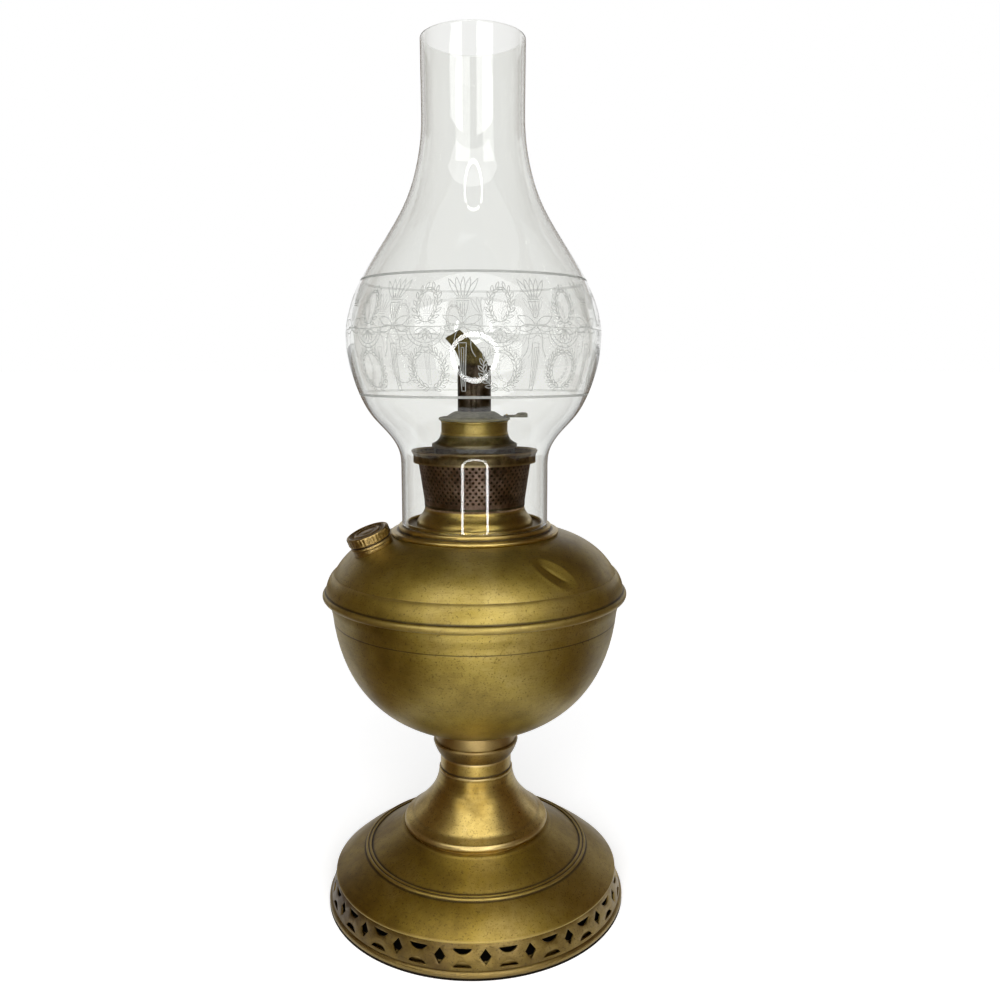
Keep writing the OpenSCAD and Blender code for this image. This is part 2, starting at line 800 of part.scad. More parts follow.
// Gallery: a flat floor with a flared lip and an edge that hangs over the basket
module gallery_rim() {
  lip_out = gallery_d / 2;
  edge_r = lip_out - 1;
  wall_in = edge_r - burner_sheet;
  hole_r = drum_r - 1.2;
  floor_top = z_gallery + burner_sheet;
  lip_z = floor_top + gallery_h;
  flare_z = lip_z - 2.6;
  hem_r = 0.5;
  hem_from = -40;
  color(dark_brass)
    lathe(concat(
      [[hole_r, z_gallery], [wall_in, z_gallery], [wall_in, z_gallery - gallery_drop]],
      [[edge_r, z_gallery - gallery_drop], [edge_r, flare_z]],
      arc([lip_out - hem_r, lip_z - hem_r], hem_r, hem_from, 180, 7),
      [[wall_in, flare_z], [wall_in, floor_top], [hole_r, floor_top]]
    ));
}

// Stepped cone over the basket
module burner_cone() {
  ridge_r = drum_r + ridge_out;
  ridge_edge = 0.4;
  shelf_r = ridge_r - 0.8;
  z_ridge = z_cone + drum_h;
  z_shelf = z_ridge + ridge_h;
  color(dark_brass)
    spun_sheet(concat(
      [[drum_r, z_cone], [drum_r, z_ridge]],
      [[ridge_r, z_ridge + ridge_edge], [ridge_r, z_shelf - ridge_edge]],
      swept([shelf_r, z_shelf], [band_r, z_band], [0.49, 0.2], [0.84, 0.5], 8)
    ), sheet);
}

// Plain band that the turning cap sits in
module neck_band() {
  sunk_r = band_r - 0.35;
  edge_h = 0.5;
  slope_h = 0.9;
  color(brass)
    translate([0, 0, z_band])
      lathe([
        [band_r - sheet, 0], [band_r, 0], [band_r, edge_h], [sunk_r, slope_h], [sunk_r, band_h - slope_h],
        [band_r, band_h - edge_h], [band_r, band_h], [band_r - sheet, band_h]
      ]);
}

// Upright slots for the carrier's two pins
module pin_slots(r_in, r_out) {
  for (turn = [pin_turn, pin_turn + 180])
    rotate([0, 0, turn]) {
      for (z = [pin_low - slot_r, pin_z + slot_r])
        translate([r_in, 0, z]) rotate([0, 90, 0]) cylinder(r = slot_r, h = r_out - r_in);
      translate([r_in, -slot_r, pin_low - slot_r])
        cube([r_out - r_in, 2 * slot_r, wick_travel + 2 * slot_r]);
    }
}

// Wick tube, slotted for the carrier's pins
module wick_tube() {
  bottom = z_floor - wick_tube_drop;
  color(copper)
    difference() {
      translate([0, 0, bottom]) ring(wick_tube_r, wick_bore_r, z_mouth - bottom);
      pin_slots(wick_bore_r - 2, wick_tube_r + 1);
    }
}

// Free tip of the wick, leaning out of the tube's mouth
module wick_tip() {
  foot_t = 1;
  head_t = 1.6;
  head_r = 0.62 * wick_r;
  bend_z = z_mouth + 0.72 * tip_h;
  bend_tilt = -38;
  color(felt)
    hull() {
      translate([-0.6, 0, z_mouth]) cylinder(r = wick_r, h = foot_t, $fn = 32);
      translate([-tip_lean, 0, bend_z])
        rotate([0, bend_tilt, 0]) cylinder(r = wick_r - 0.2, h = head_t, $fn = 32);
      translate([-tip_lean, 0, z_mouth + tip_h - head_t]) cylinder(r = head_r, h = head_t, $fn = 32);
    }
}

// Turning cap: flat flange, low dome and a skirt that turns in the band
module turning_cap() {
  flat_in = turn_r - turn_flat_w;
  skirt_out = band_r - sheet - run_gap;
  skirt_in = skirt_out - sheet;
  skirt_low = z_turn - 3;
  edge_r = turn_flange_h / 2;
  color(dark_brass)
    lathe(concat(
      [[sleeve_r, z_turn], [skirt_in, z_turn], [skirt_in, skirt_low], [skirt_out, skirt_low]],
      [[skirt_out, z_turn]],
      arc([turn_r - edge_r, z_turn + edge_r], edge_r, -90, 90, 6),
      swept([flat_in, z_flat], [turn_hole_r, z_turn_top], [0.34, 0.5], [0.66, 0.94], 8)
    ));
}

// Lever that lies on the turning cap's flange, with a rolled thumb piece
module wick_lever() {
  inner = turn_r - turn_flat_w + 0.3;
  thumb_x = lever_reach - thumb_d / 2;
  thumb_w = lever_w + 0.8;
  color(dark_brass)
    difference() {
      union() {
        translate([inner, -lever_w / 2, z_flat]) cube([thumb_x - inner, lever_w, lever_t]);
        translate([thumb_x, thumb_w / 2, z_flat + thumb_d / 2])
          rotate([90, 0, 0]) cylinder(d = thumb_d, h = thumb_w);
      }
      rivet_holes();
    }
}

// Places of the two lever rivets
module at_rivets() {
  for (side = [-1, 1])
    translate([turn_r - turn_flat_w / 2, side * lever_w / 4, z_flat]) children();
}
module rivet_holes() {
  at_rivets() translate([0, 0, -eps]) cylinder(d = rivet_d, h = lever_t + 1);
}

// Rivets that hold the lever
module lever_rivets() {
  rivet_r = rivet_d / 2;
  head_top = lever_t + 0.4;
  color(old_brass)
    at_rivets()
      lathe([
        [0, 0], [rivet_r, 0], [rivet_r, lever_t],
        [1.4 * rivet_r, lever_t], [rivet_r, head_top], [0, head_top]
      ]);
}

// Sleeve under the turning cap with two helical slots that lift the carrier's pins
module raiser_sleeve() {
  slot_z = pin_low - helix_end;
  slot_l = wick_travel + 2 * helix_end;
  cut_in = sleeve_r - 1.5;
  cut_out = sleeve_out_r + 2;
  a = slot_half_turn;
  color(old_brass)
    difference() {
      translate([0, 0, sleeve_z]) ring(sleeve_out_r, sleeve_r, z_turn - sleeve_z);
      for (turn = [pin_turn, pin_turn + 180])
        translate([0, 0, slot_z])
          rotate([0, 0, turn - lever_turn - helix_end / helix_rise])
            linear_extrude(slot_l, twist = -slot_l / helix_rise, slices = 60, $fn = 4)
              polygon([
                cut_in * [cos(-a), sin(-a)], cut_out * [cos(-a), sin(-a)],
                cut_out * [cos(a), sin(a)], cut_in * [cos(a), sin(a)]
              ]);
    }
}

// Round wick, hanging from the carrier down into the oil
module wick() {
  color(felt)
    translate([0, 0, wick_top - wick_l]) ring(wick_r, draft_r + run_gap, wick_l);
}

// Carrier that grips the wick
module wick_carrier() {
  color(old_brass) translate([0, 0, pin_z - carrier_h / 2]) ring(carrier_r, wick_r, carrier_h);
}

// Two pins of the carrier
module carrier_pins() {
  color(steel)
    difference() {
      for (turn = [pin_turn, pin_turn + 180])
        rotate([0, 0, turn])
          translate([0, 0, pin_z])
            rotate([0, 90, 0]) cylinder(d = pin_d, h = pin_end_r);
      translate([0, 0, pin_z - pin_d]) cylinder(r = carrier_r, h = 2 * pin_d);
    }
}

// Outline of the chimney's outer face, from its base up
function chimney_path() =
  let (
    base = [chimney_r, z_seat],
    swell = base + [0, chimney_base_h],
    bulge = [bulge_d / 2, z_bulge],
    knee = [knee_d / 2, z_knee],
    throat = [throat_d / 2, z_throat],
    neck = [neck_d / 2, z_seat + neck_h],
    up_knee = [cos(knee_angle), sin(knee_angle)],
    up_throat = [-cos(throat_angle), sin(throat_angle)]
  )
  concat(
    [base],
    bezier(swell, swell + [0, base_pull], knee - knee_pull[0] * up_knee, knee, 10),
    rest(bezier(knee, knee + knee_pull[1] * up_knee, bulge - [0, bulge_pull[0]], bulge, 12)),
    rest(bezier(bulge, bulge + [0, bulge_pull[1]], throat - throat_pull[0] * up_throat, throat, 16)),
    rest(bezier(throat, throat + throat_pull[1] * up_throat, neck - [0, neck_pull], neck, 8)),
    [[mouth_d / 2, z_seat + chimney_h]]
  );

// One length of the glass chimney, which is cut level at its knee, its widest point and its throat
module glass_length(low, high) {
  color(clear)
    intersection() {
      spun_sheet(chimney_path(), glass);
      translate([0, 0, low]) cylinder(d = bulge_d + 2 * glass, h = high - low);
    }
}

// Straight base of the chimney
module glass_base() {
  glass_length(z_seat - glass, z_knee);
}

// Swell of the chimney up to its widest point
module glass_swell() {
  glass_length(z_knee, z_bulge);
}

// Upper half of the chimney's bulb
module glass_bulb() {
  glass_length(z_bulge, z_throat);
}

// Neck of the chimney up to its mouth
module glass_neck() {
  glass_length(z_throat, z_seat + chimney_h + glass);
}

foot_rim();
pierced_skirt();
foot_dome();
stem();
stem_cup();
cup_screw();
tie_spider();
tube_nut();
draft_tube();
font_boss();
boss_washer();
boss_nut();
font_bowl();
font_shoulder();
seam_ring();
collar_ring();
font_neck();
filler_neck();
filler_gasket();
filler_cap();
burner_gasket();
burner_spigot();
burner_floor();
air_basket();
gallery_rim();
burner_cone();
neck_band();
wick_tube();
wick_tip();
turning_cap();
wick_lever();
lever_rivets();
raiser_sleeve();
wick();
wick_carrier();
carrier_pins();
glass_base();
glass_swell();
glass_bulb();
glass_neck();
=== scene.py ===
"""Looks of the brass parlor oil lamp: spun brass, burner, wick and etched chimney on the CAD frame."""
import json
import math
from collections import Counter

import bpy
import numpy as np
from mathutils import Matrix, Vector


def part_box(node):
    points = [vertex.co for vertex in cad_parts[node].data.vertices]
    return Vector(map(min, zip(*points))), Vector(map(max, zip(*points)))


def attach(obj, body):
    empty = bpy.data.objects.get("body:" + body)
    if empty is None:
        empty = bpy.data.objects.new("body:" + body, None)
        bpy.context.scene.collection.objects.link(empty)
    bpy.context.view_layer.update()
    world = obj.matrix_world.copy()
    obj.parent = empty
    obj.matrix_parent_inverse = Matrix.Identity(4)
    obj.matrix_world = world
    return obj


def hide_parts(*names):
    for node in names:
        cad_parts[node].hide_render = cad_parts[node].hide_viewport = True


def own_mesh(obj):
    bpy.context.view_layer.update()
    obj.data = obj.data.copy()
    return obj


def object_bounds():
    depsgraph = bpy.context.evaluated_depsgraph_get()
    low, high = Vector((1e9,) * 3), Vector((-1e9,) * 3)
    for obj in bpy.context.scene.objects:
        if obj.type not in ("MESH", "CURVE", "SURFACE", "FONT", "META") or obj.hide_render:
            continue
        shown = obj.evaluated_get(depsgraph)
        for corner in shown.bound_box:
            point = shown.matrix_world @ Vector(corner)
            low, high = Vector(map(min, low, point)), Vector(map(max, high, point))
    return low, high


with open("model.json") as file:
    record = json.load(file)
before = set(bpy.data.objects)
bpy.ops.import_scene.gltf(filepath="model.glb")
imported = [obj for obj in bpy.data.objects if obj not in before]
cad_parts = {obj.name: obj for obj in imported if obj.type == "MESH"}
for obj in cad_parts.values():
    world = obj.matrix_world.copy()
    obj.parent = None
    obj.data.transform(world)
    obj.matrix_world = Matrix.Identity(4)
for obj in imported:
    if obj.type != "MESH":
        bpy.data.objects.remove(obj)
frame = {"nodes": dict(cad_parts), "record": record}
cad_low, cad_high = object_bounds()

MM = 0.001
STEPS = 256
FINE_STEPS = 512
CORNER = math.radians(40)
EDGE_R = 0.22
SAME = 0.02
BODY_OF = {n: b for b, ns in frame["record"]["behaviour"]["bodies"].items() for n in ns}
JOINT = {j["name"]: j for j in frame["record"]["behaviour"]["joints"]}


# Outlines, in millimetres

def outline_of(node):
    """Closed half section of a turned CAD node, as (radius, height) points in order."""
    cell, full_ring = 0.05, 12
    mesh = frame["nodes"][node].data
    rings, grid, ring_of = [], {}, {}
    for v in mesh.vertices:
        x, y, z = v.co / MM
        r = math.hypot(x, y)
        i, j = int(r / cell), int(z / cell)
        near = [k for di in (-1, 0, 1) for dj in (-1, 0, 1) for k in grid.get((i + di, j + dj), [])]
        found = [k for k in near if math.dist(rings[k][0], (r, z)) < SAME]
        if not found:
            rings.append(((r, z), set()))
            found = [len(rings) - 1]
            grid.setdefault((i, j), []).append(found[0])
        rings[found[0]][1].add(round(math.degrees(math.atan2(y, x))))
        ring_of[v.index] = found[0]
    beside = {k: set() for k, (_, turns) in enumerate(rings) if len(turns) >= full_ring}
    shared = Counter(tuple(sorted(ring_of[i] for i in e.vertices)) for e in mesh.edges)
    for (a, b), edges in shared.items():
        if a != b and a in beside and b in beside and edges >= full_ring:
            beside[a].add(b)
            beside[b].add(a)
    path = [max(beside, key=lambda k: rings[k][0])]
    while True:
        onward = [k for k in beside[path[-1]] if k not in path]
        if not onward:
            break
        path.append(onward[0])
    return np.array([rings[k][0] for k in path])


def turn_angles(path):
    """Angle that a closed outline turns by at each point."""
    before = path - np.roll(path, 1, axis=0)
    after = np.roll(path, -1, axis=0) - path
    cross = before[:, 0] * after[:, 1] - before[:, 1] * after[:, 0]
    return np.arctan2(cross, (before * after).sum(1))


def anticlockwise(path):
    return path if turn_angles(path).sum() > 0 else path[::-1]


def evened(run):
    """Open run with its long stretches split, so that a curve through it does not overshoot."""
    step = np.linalg.norm(np.diff(run, axis=0), axis=1)
    made = []
    for i, (p, q) in enumerate(zip(run, run[1:])):
        near = min(step[max(i - 1, 0)], step[min(i + 1, len(step) - 1)])
        parts = min(24, math.ceil(step[i] / (1.5 * near)))
        made += [p + (q - p) * k / parts for k in range(parts)]
    return np.array(made + [run[-1]])


def curve_through(run, per=3):
    """Smooth curve through the points of an open run."""
    if len(run) < 3:
        return list(run)
    ends = np.vstack([2 * run[0] - run[1], run, 2 * run[-1] - run[-2]])
    made = []
    for i in range(1, len(ends) - 2):
        p0, p1, p2, p3 = ends[i - 1:i + 3]
        for t in np.arange(per) / per:
            square = (2 * p0 - 5 * p1 + 4 * p2 - p3) * t ** 2
            cube = (3 * p1 - p0 - 3 * p2 + p3) * t ** 3
            made.append(0.5 * (2 * p1 + (p2 - p0) * t + square + cube))
    made.append(ends[-2])
    return made


def faired(path):
    """Closed outline with smooth curves between its corners."""
    angle = turn_angles(path)
    corners = [i for i in range(len(path)) if abs(angle[i]) > CORNER]
    made = []
    for a, b in zip(corners, corners[1:] + [corners[0] + len(path)]):
        made += curve_through(evened(path[np.arange(a, b + 1) % len(path)]))[:-1]
    return np.array(made)


def eased(path, radius=EDGE_R, points=4):
    """Closed outline with its sharp corners rounded."""
    angle = turn_angles(path)
    made = []
    for i, p in enumerate(path):
        if abs(angle[i]) <= CORNER:
            made.append(p)
            continue
        a, b = path[i - 1] - p, path[(i + 1) % len(path)] - p
        la, lb = np.linalg.norm(a), np.linalg.norm(b)
        cut = min(radius * math.tan(abs(angle[i]) / 2), 0.45 * la, 0.45 * lb)
        start, end = p + a / la * cut, p + b / lb * cut
        for t in np.linspace(0, 1, points + 1):
            made.append((1 - t) ** 2 * start + 2 * t * (1 - t) * p + t ** 2 * end)
    return np.array(made)


def joined_outline(nodes):
    """One closed outline for a hollow piece whose nodes are cut level and stand on each other."""
    outer, inner = [], []
    for i, node in enumerate(nodes):
        path = anticlockwise(outline_of(node))
        foot = path[:, 1] < path[:, 1].min() + SAME
        path = np.roll(path, -int(np.argmax(np.where(foot, path[:, 0], 0))), axis=0)
        turn = int(np.argmax(path[:, 1] > path[:, 1].max() - SAME)) + 1
        outer += list(path[1 if i else 0:turn - (node != nodes[-1])])
        inner = list(path[turn + (node != nodes[-1]):len(path) - (i > 0)]) + inner
    return np.array(outer + inner)


def smoothed(path, step=1.5, passes=6):
    """Closed outline in even steps, with small kinks between its corners smoothed out."""
    angle = turn_angles(path)
    corners = [i for i in range(len(path)) if abs(angle[i]) > CORNER]
    made = []
    for a, b in zip(corners, corners[1:] + [corners[0] + len(path)]):
        run = path[np.arange(a, b + 1) % len(path)]
        along = np.concatenate([[0], np.cumsum(np.linalg.norm(np.diff(run, axis=0), axis=1))])
        at = np.linspace(0, along[-1], max(2, round(along[-1] / step) + 1))
        run = np.column_stack([np.interp(at, along, run[:, i]) for i in (0, 1)])
        for _ in range(passes):
            run[1:-1] = (run[:-2] + 2 * run[1:-1] + run[2:]) / 4
        made += list(run[:-1])
    return np.array(made)


def scribed(path, z, wide=0.7, deep=0.3):
    """Closed outline with a fine groove round its outer side near a height, and the groove's height."""
    path = anticlockwise(path)
    made = []
    for p, q in zip(path, np.roll(path, -1, axis=0)):
        made.append(p)
        if p[1] < z < q[1]:
            length = np.linalg.norm(q - p)
            along = (q - p) / length
            at = (p + q) / 2
            inward = np.array([-along[1], along[0]])
            half = min(wide / 2, 0.4 * length)
            made += [at - along * half, at + inward * deep, at + along * half]
            cut = at[1]
    return np.array(made), cut


def outer_radius(path, z):
    """Largest radius of a closed outline at a height."""
    a, b = path, np.roll(path, -1, axis=0)
    low, high = np.minimum(a[:, 1], b[:, 1]), np.maximum(a[:, 1], b[:, 1])
    over = (low <= z) & (z <= high) & (high > low)
    share = (z - a[over, 1]) / (b[over, 1] - a[over, 1])
    return float(np.max(a[over, 0] + share * (b[over, 0] - a[over, 0])))


def wear_of(path, spread=0.7):
    """How far each outline point stands out, from -1 in a groove to 1 on a ridge. Materials turn it
    into dirt and painted shade in grooves, and into rubbed wear and a painted highlight on ridges.
    """
    angle = turn_angles(path)
    step = np.linalg.norm(np.roll(path, -1, axis=0) - path, axis=1)
    along = np.concatenate([[0], np.cumsum(step)])
    gap = np.abs(along[:-1, None] - along[None, :-1])
    gap = np.minimum(gap, along[-1] - gap)
    bend = (np.exp(-(gap / spread) ** 2) * angle[None, :]).sum(1)
    return np.tanh(1.3 * bend)


# Pieces

def new_piece(name, verts, faces, smooth=True, **values):
    """A mesh object from points in millimetres, with values kept on its points."""
    mesh = bpy.data.meshes.new(name)
    mesh.from_pydata((np.asarray(verts) * MM).tolist(), [], faces)
    mesh.polygons.foreach_set("use_smooth", [smooth] * len(mesh.polygons))
    for key, numbers in values.items():
        kept = mesh.attributes.new(key, "FLOAT", "POINT")
        kept.data.foreach_set("value", np.array(numbers, np.float32))
    mesh.update()
    piece = bpy.data.objects.new(name, mesh)
    bpy.context.scene.collection.objects.link(piece)
    return piece


def lathed(path, steps=STEPS):
    """Points, faces, and the wear and painted shading values, of a ring turned from a closed outline.
    """
    path = anticlockwise(path)
    n = len(path)
    turns = np.arange(steps) * 2 * math.pi / steps
    radius = np.tile(path[:, 0], steps)
    turn = np.repeat(turns, n)
    verts = np.column_stack([radius * np.sin(turn), -radius * np.cos(turn), np.tile(path[:, 1], steps)])
    faces = []
    for k in range(steps):
        a, b = k * n, (k + 1) % steps * n
        faces += [(a + i, b + i, b + (i + 1) % n, a + (i + 1) % n) for i in range(n)]
    return verts, faces, np.tile(wear_of(path), steps)


def dress(piece, slot, material, *nodes):
    """Gives a piece its body and its material, and hides the CAD nodes it stands for."""
    piece.data.materials.append(material)
    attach(piece, BODY_OF[nodes[0]])
    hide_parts(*nodes)


def finish_node(node, material, bevel=0.0):
    """Keeps a CAD node as it is, with a better material and softer edges."""
    shown = frame["nodes"][node]
    shown.data.materials.clear()
    shown.data.materials.append(material)
    if bevel:
        weld = shown.modifiers.new("weld", "WELD")
        weld.merge_threshold = 0.001 * MM
        ease = shown.modifiers.new("bevel", "BEVEL")
        ease.width = bevel * MM
        ease.segments = 2
        ease.limit_method = "ANGLE"
        ease.angle_limit = CORNER


# Materials

class Shader:
    """A Principled material and short ways to add its nodes."""

    def __init__(self, name, **values):
        self.material = bpy.data.materials.new(name)
        self.material.use_nodes = True
        self.tree = self.material.node_tree
        self.bsdf = self.tree.nodes["Principled BSDF"]
        for key, value in values.items():
            self.bsdf.inputs[key.replace("_", " ").title().replace("Ior", "IOR")].default_value = value
        self.bsdf.inputs["Emission Color"].default_value = (1, 1, 1, 1)

    def node(self, kind, **settings):
        made = self.tree.nodes.new("ShaderNode" + kind)
        for key, value in settings.items():
            setattr(made, key, value)
        return made

    def link(self, source, target):
        self.tree.links.new(source, target)

    def feed(self, socket, value):
        """Links a source to a socket, or sets a number or colour on it."""
        if isinstance(value, (int, float)):
            socket.default_value = value
        elif isinstance(value, tuple):
            socket.default_value = (*value, 1)
        else:
            self.link(value, socket)

    def places(self):
        return self.node("TexCoord").outputs["Object"]

    def noise(self, scale, detail=4, rough=0.55, vector=None):
        made = self.node("TexNoise")
        made.inputs["Scale"].default_value = scale
        made.inputs["Detail"].default_value = detail
        made.inputs["Roughness"].default_value = rough
        self.link(vector or self.places(), made.inputs["Vector"])
        return made.outputs["Fac"]

    def ramp(self, fac, stops):
        """Colours or greys at places along a 0 to 1 value."""
        made = self.node("ValToRGB")
        while len(made.color_ramp.elements) < len(stops):
            made.color_ramp.elements.new(0.5)
        for element, (at, colour) in zip(made.color_ramp.elements, stops):
            element.position = at
            grey = (colour,) * 3 if isinstance(colour, (int, float)) else colour
            element.color = (*grey, 1)
        self.link(fac, made.inputs["Fac"])
        return made.outputs["Color"]

    def math(self, how, a, b=0.0):
        made = self.node("Math", operation=how)
        self.feed(made.inputs[0], a)
        self.feed(made.inputs[1], b)
        return made.outputs["Value"]

    def mix(self, fac, a, b, how="MIX"):
        made = self.node("Mix", data_type="RGBA", blend_type=how)
        for socket, value in zip([s for s in made.inputs if s.enabled], (fac, a, b)):
            self.feed(socket, value)
        return [s for s in made.outputs if s.enabled][0]

    def kept(self, name):
        """A value that the mesh keeps on its points."""
        return self.node("Attribute", attribute_name=name).outputs["Fac"]

    def bump(self, height, strength, distance):
        made = self.node("Bump")
        made.inputs["Strength"].default_value = strength
        made.inputs["Distance"].default_value = distance * MM
        self.link(height, made.inputs["Height"])
        self.link(made.outputs["Normal"], self.bsdf.inputs["Normal"])

    def set(self, name, source):
        self.link(source, self.bsdf.inputs[name])

    def shown_part(self, share, surface=None):
        """Lets the surface show only by a share, and be clear for the rest."""
        either = self.node("MixShader")
        self.link(share, either.inputs["Fac"])
        self.link(self.node("BsdfTransparent").outputs["BSDF"], either.inputs[1])
        self.link(surface or self.bsdf.outputs["BSDF"], either.inputs[2])
        self.link(either.outputs["Shader"], self.tree.nodes["Material Output"].inputs["Surface"])


def spun_lines(s, scale):
    """Fine lines round the lamp's axis, as spinning and polishing leave them."""
    split = s.node("SeparateXYZ")
    s.link(s.places(), split.inputs["Vector"])
    across = s.node("CombineXYZ")
    s.link(split.outputs["X"], across.inputs["X"])
    s.link(split.outputs["Y"], across.inputs["Y"])
    radius = s.node("VectorMath", operation="LENGTH")
    s.link(across.outputs["Vector"], radius.inputs[0])
    turn = s.node("VectorMath", operation="NORMALIZE")
    s.link(across.outputs["Vector"], turn.inputs[0])
    slow = s.node("VectorMath", operation="SCALE")
    slow.inputs["Scale"].default_value = 4 * MM
    s.link(turn.outputs["Vector"], slow.inputs[0])
    up = s.node("CombineXYZ")
    slope = s.math("MULTIPLY", radius.outputs["Value"], 0.7)
    s.link(s.math("ADD", split.outputs["Z"], slope), up.inputs["Z"])
    where = s.node("VectorMath", operation="ADD")
    s.link(slow.outputs["Vector"], where.inputs[0])
    s.link(up.outputs["Vector"], where.inputs[1])
    return s.noise(scale, 3, 0.6, where.outputs["Vector"])


def brass(name, deep, body, bright, rough, grime_and_shade=0.8):
    """Old spun brass: cloudy patina, dirt and painted shade in the grooves, rubbed ridges with a
    painted highlight, painted shade where a piece marks it, fine spun lines and pits.
    """
    s = Shader(name, metallic=1.0, coat_weight=0.5, coat_roughness=0.35)
    cloud = s.noise(20, 5, 0.62)
    stain = s.noise(75, 6, 0.7)
    speck = s.noise(1100, 3, 0.6)
    lines = spun_lines(s, 2600)
    dark = tuple(0.45 * c for c in deep)
    base = s.ramp(cloud, [(0.30, deep), (0.50, body), (0.74, bright)])
    base = s.mix(s.ramp(stain, [(0.52, 0.0), (0.74, 0.5)]), base, deep)
    base = s.mix(s.ramp(speck, [(0.55, 0.0), (0.70, 0.7)]), base, dark)
    base = s.mix(s.ramp(lines, [(0.52, 0.0), (0.75, 0.35)]), base, deep)
    wear = s.kept("wear")
    # Grooves go towards near black and get rougher: dirt and painted shade.
    groove = s.ramp(s.math("MULTIPLY", wear, -1.0), [(0.05, 0.0), (0.7, grime_and_shade)])
    # Ridges go lighter: rubbed wear and a painted highlight.
    base = s.mix(s.ramp(wear, [(0.15, 0.0), (0.9, 0.55)]), base, bright)
    base = s.mix(groove, base, (0.030, 0.017, 0.006))
    # Painted shade, near black, where a piece marks it.
    base = s.mix(s.kept("stain"), base, (0.025, 0.013, 0.004))
    s.set("Base Color", base)
    shine = s.mix(0.4, s.ramp(stain, [(0.3, rough - 0.06), (0.75, rough + 0.16)]),
                  s.ramp(lines, [(0.3, rough - 0.08), (0.7, rough + 0.10)]))
    s.set("Roughness", s.mix(groove, shine, (0.65, 0.65, 0.65)))
    coarse = s.math("ADD", s.math("MULTIPLY", lines, 0.5), s.math("MULTIPLY", stain, 0.6))
    s.bump(s.math("ADD", coarse, speck), 0.12, 0.25)
    return s.material


def dark_metal(name, deep, body, bright, rough, metallic=1.0):
    """Burner metal browned by heat, with soot, rubbed edges that carry a painted highlight, and painted
    shade where a piece marks it.
    """
    s = Shader(name, metallic=metallic)
    cloud = s.noise(90, 5, 0.65)
    soot = s.noise(260, 5, 0.7)
    base = s.ramp(cloud, [(0.32, deep), (0.55, body), (0.75, bright)])
    base = s.mix(s.ramp(soot, [(0.5, 0.0), (0.7, 0.75)]), base, tuple(0.3 * c for c in deep))
    # Ridges go lighter: rubbed edges and a painted highlight.
    base = s.mix(s.ramp(s.kept("wear"), [(0.1, 0.0), (0.8, 0.7)]), base, bright)
    # Painted shade, near black, where a piece marks it.
    base = s.mix(s.kept("stain"), base, (0.008, 0.007, 0.007))
    s.set("Base Color", base)
    s.set("Roughness", s.ramp(soot, [(0.3, rough - 0.08), (0.7, rough + 0.2)]))
    s.bump(soot, 0.12, 0.2)
    return s.material


def plain_metal(name, colour, rough):
    """Turned inner parts: even metal with fine lines and dull spots."""
    s = Shader(name, metallic=1.0)
    dull = s.noise(300, 5, 0.6)
    s.set("Base Color", s.ramp(dull, [(0.3, tuple(0.6 * c for c in colour)), (0.6, colour)]))
    s.set("Roughness", s.ramp(dull, [(0.3, rough - 0.05), (0.7, rough + 0.15)]))
    s.bump(spun_lines(s, 3000), 0.08, 0.1)
    return s.material


def cork(name):
    """Pressed cork with dark grains."""
    s = Shader(name)
    grain = s.noise(900, 5, 0.6)
    s.set("Base Color", s.ramp(grain, [(0.35, (0.12, 0.06, 0.03)), (0.55, (0.34, 0.21, 0.11)),
                                       (0.7, (0.45, 0.31, 0.18))]))
    s.set("Roughness", s.ramp(grain, [(0.3, 0.75), (0.7, 0.95)]))
    s.bump(grain, 0.4, 0.2)
    return s.material


def wick_cloth(name):
    """Knitted cotton, browned by oil, and near black where a piece marks painted shade."""
    s = Shader(name, roughness=0.95)
    weave = s.node("TexWave", wave_type="BANDS", bands_direction="Z")
    weave.inputs["Scale"].default_value = 420
    weave.inputs["Distortion"].default_value = 3.0
    s.link(s.places(), weave.inputs["Vector"])
    stain = s.noise(160, 4, 0.6)
    base = s.ramp(stain, [(0.3, (0.07, 0.052, 0.016)), (0.55, (0.17, 0.135, 0.040)),
                          (0.75, (0.29, 0.23, 0.09))])
    base = s.mix(s.ramp(weave.outputs["Fac"], [(0.2, 0.45), (0.7, 0.0)]), base, (0.06, 0.042, 0.016))
    # Painted shade, near black, where a piece marks it.
    base = s.mix(s.kept("stain"), base, (0.02, 0.014, 0.008))
    s.set("Base Color", base)
    s.bump(weave.outputs["Fac"], 0.7, 0.35)
    return s.material


def clear_glass(name):
    """Old blown glass: faint waves, a trace of dust."""
    s = Shader(name, transmission_weight=1.0, ior=1.46, base_color=(0.935, 0.942, 0.925, 1))
    dust = s.noise(45, 4, 0.6)
    s.set("Roughness", s.ramp(dust, [(0.5, 0.0), (0.9, 0.03)]))
    s.bump(s.noise(9, 2, 0.4), 0.01, 0.3)
    return s.material


def etched_glass(name, deep, pale, shown):
    """Frosted lines of the frieze: they pass some light, and show less from inside the glass."""
    s = Shader(name, roughness=0.9)
    tint = s.ramp(s.noise(1500, 3, 0.6), [(0.3, deep), (0.7, pale)])
    s.set("Base Color", tint)
    lit = s.node("BsdfTranslucent")
    s.link(tint, lit.inputs["Color"])
    both = s.node("AddShader")
    s.link(s.bsdf.outputs["BSDF"], both.inputs[0])
    s.link(lit.outputs["BSDF"], both.inputs[1])
    patchy = s.ramp(s.noise(300, 3, 0.6), [(0.3, shown[0]), (0.7, shown[1])])
    inside = s.math("MULTIPLY", s.node("NewGeometry").outputs["Backfacing"], 0.7)
    s.shown_part(s.math("MULTIPLY", patchy, s.math("SUBTRACT", 1.0, inside)), both.outputs["Shader"])
    return s.material


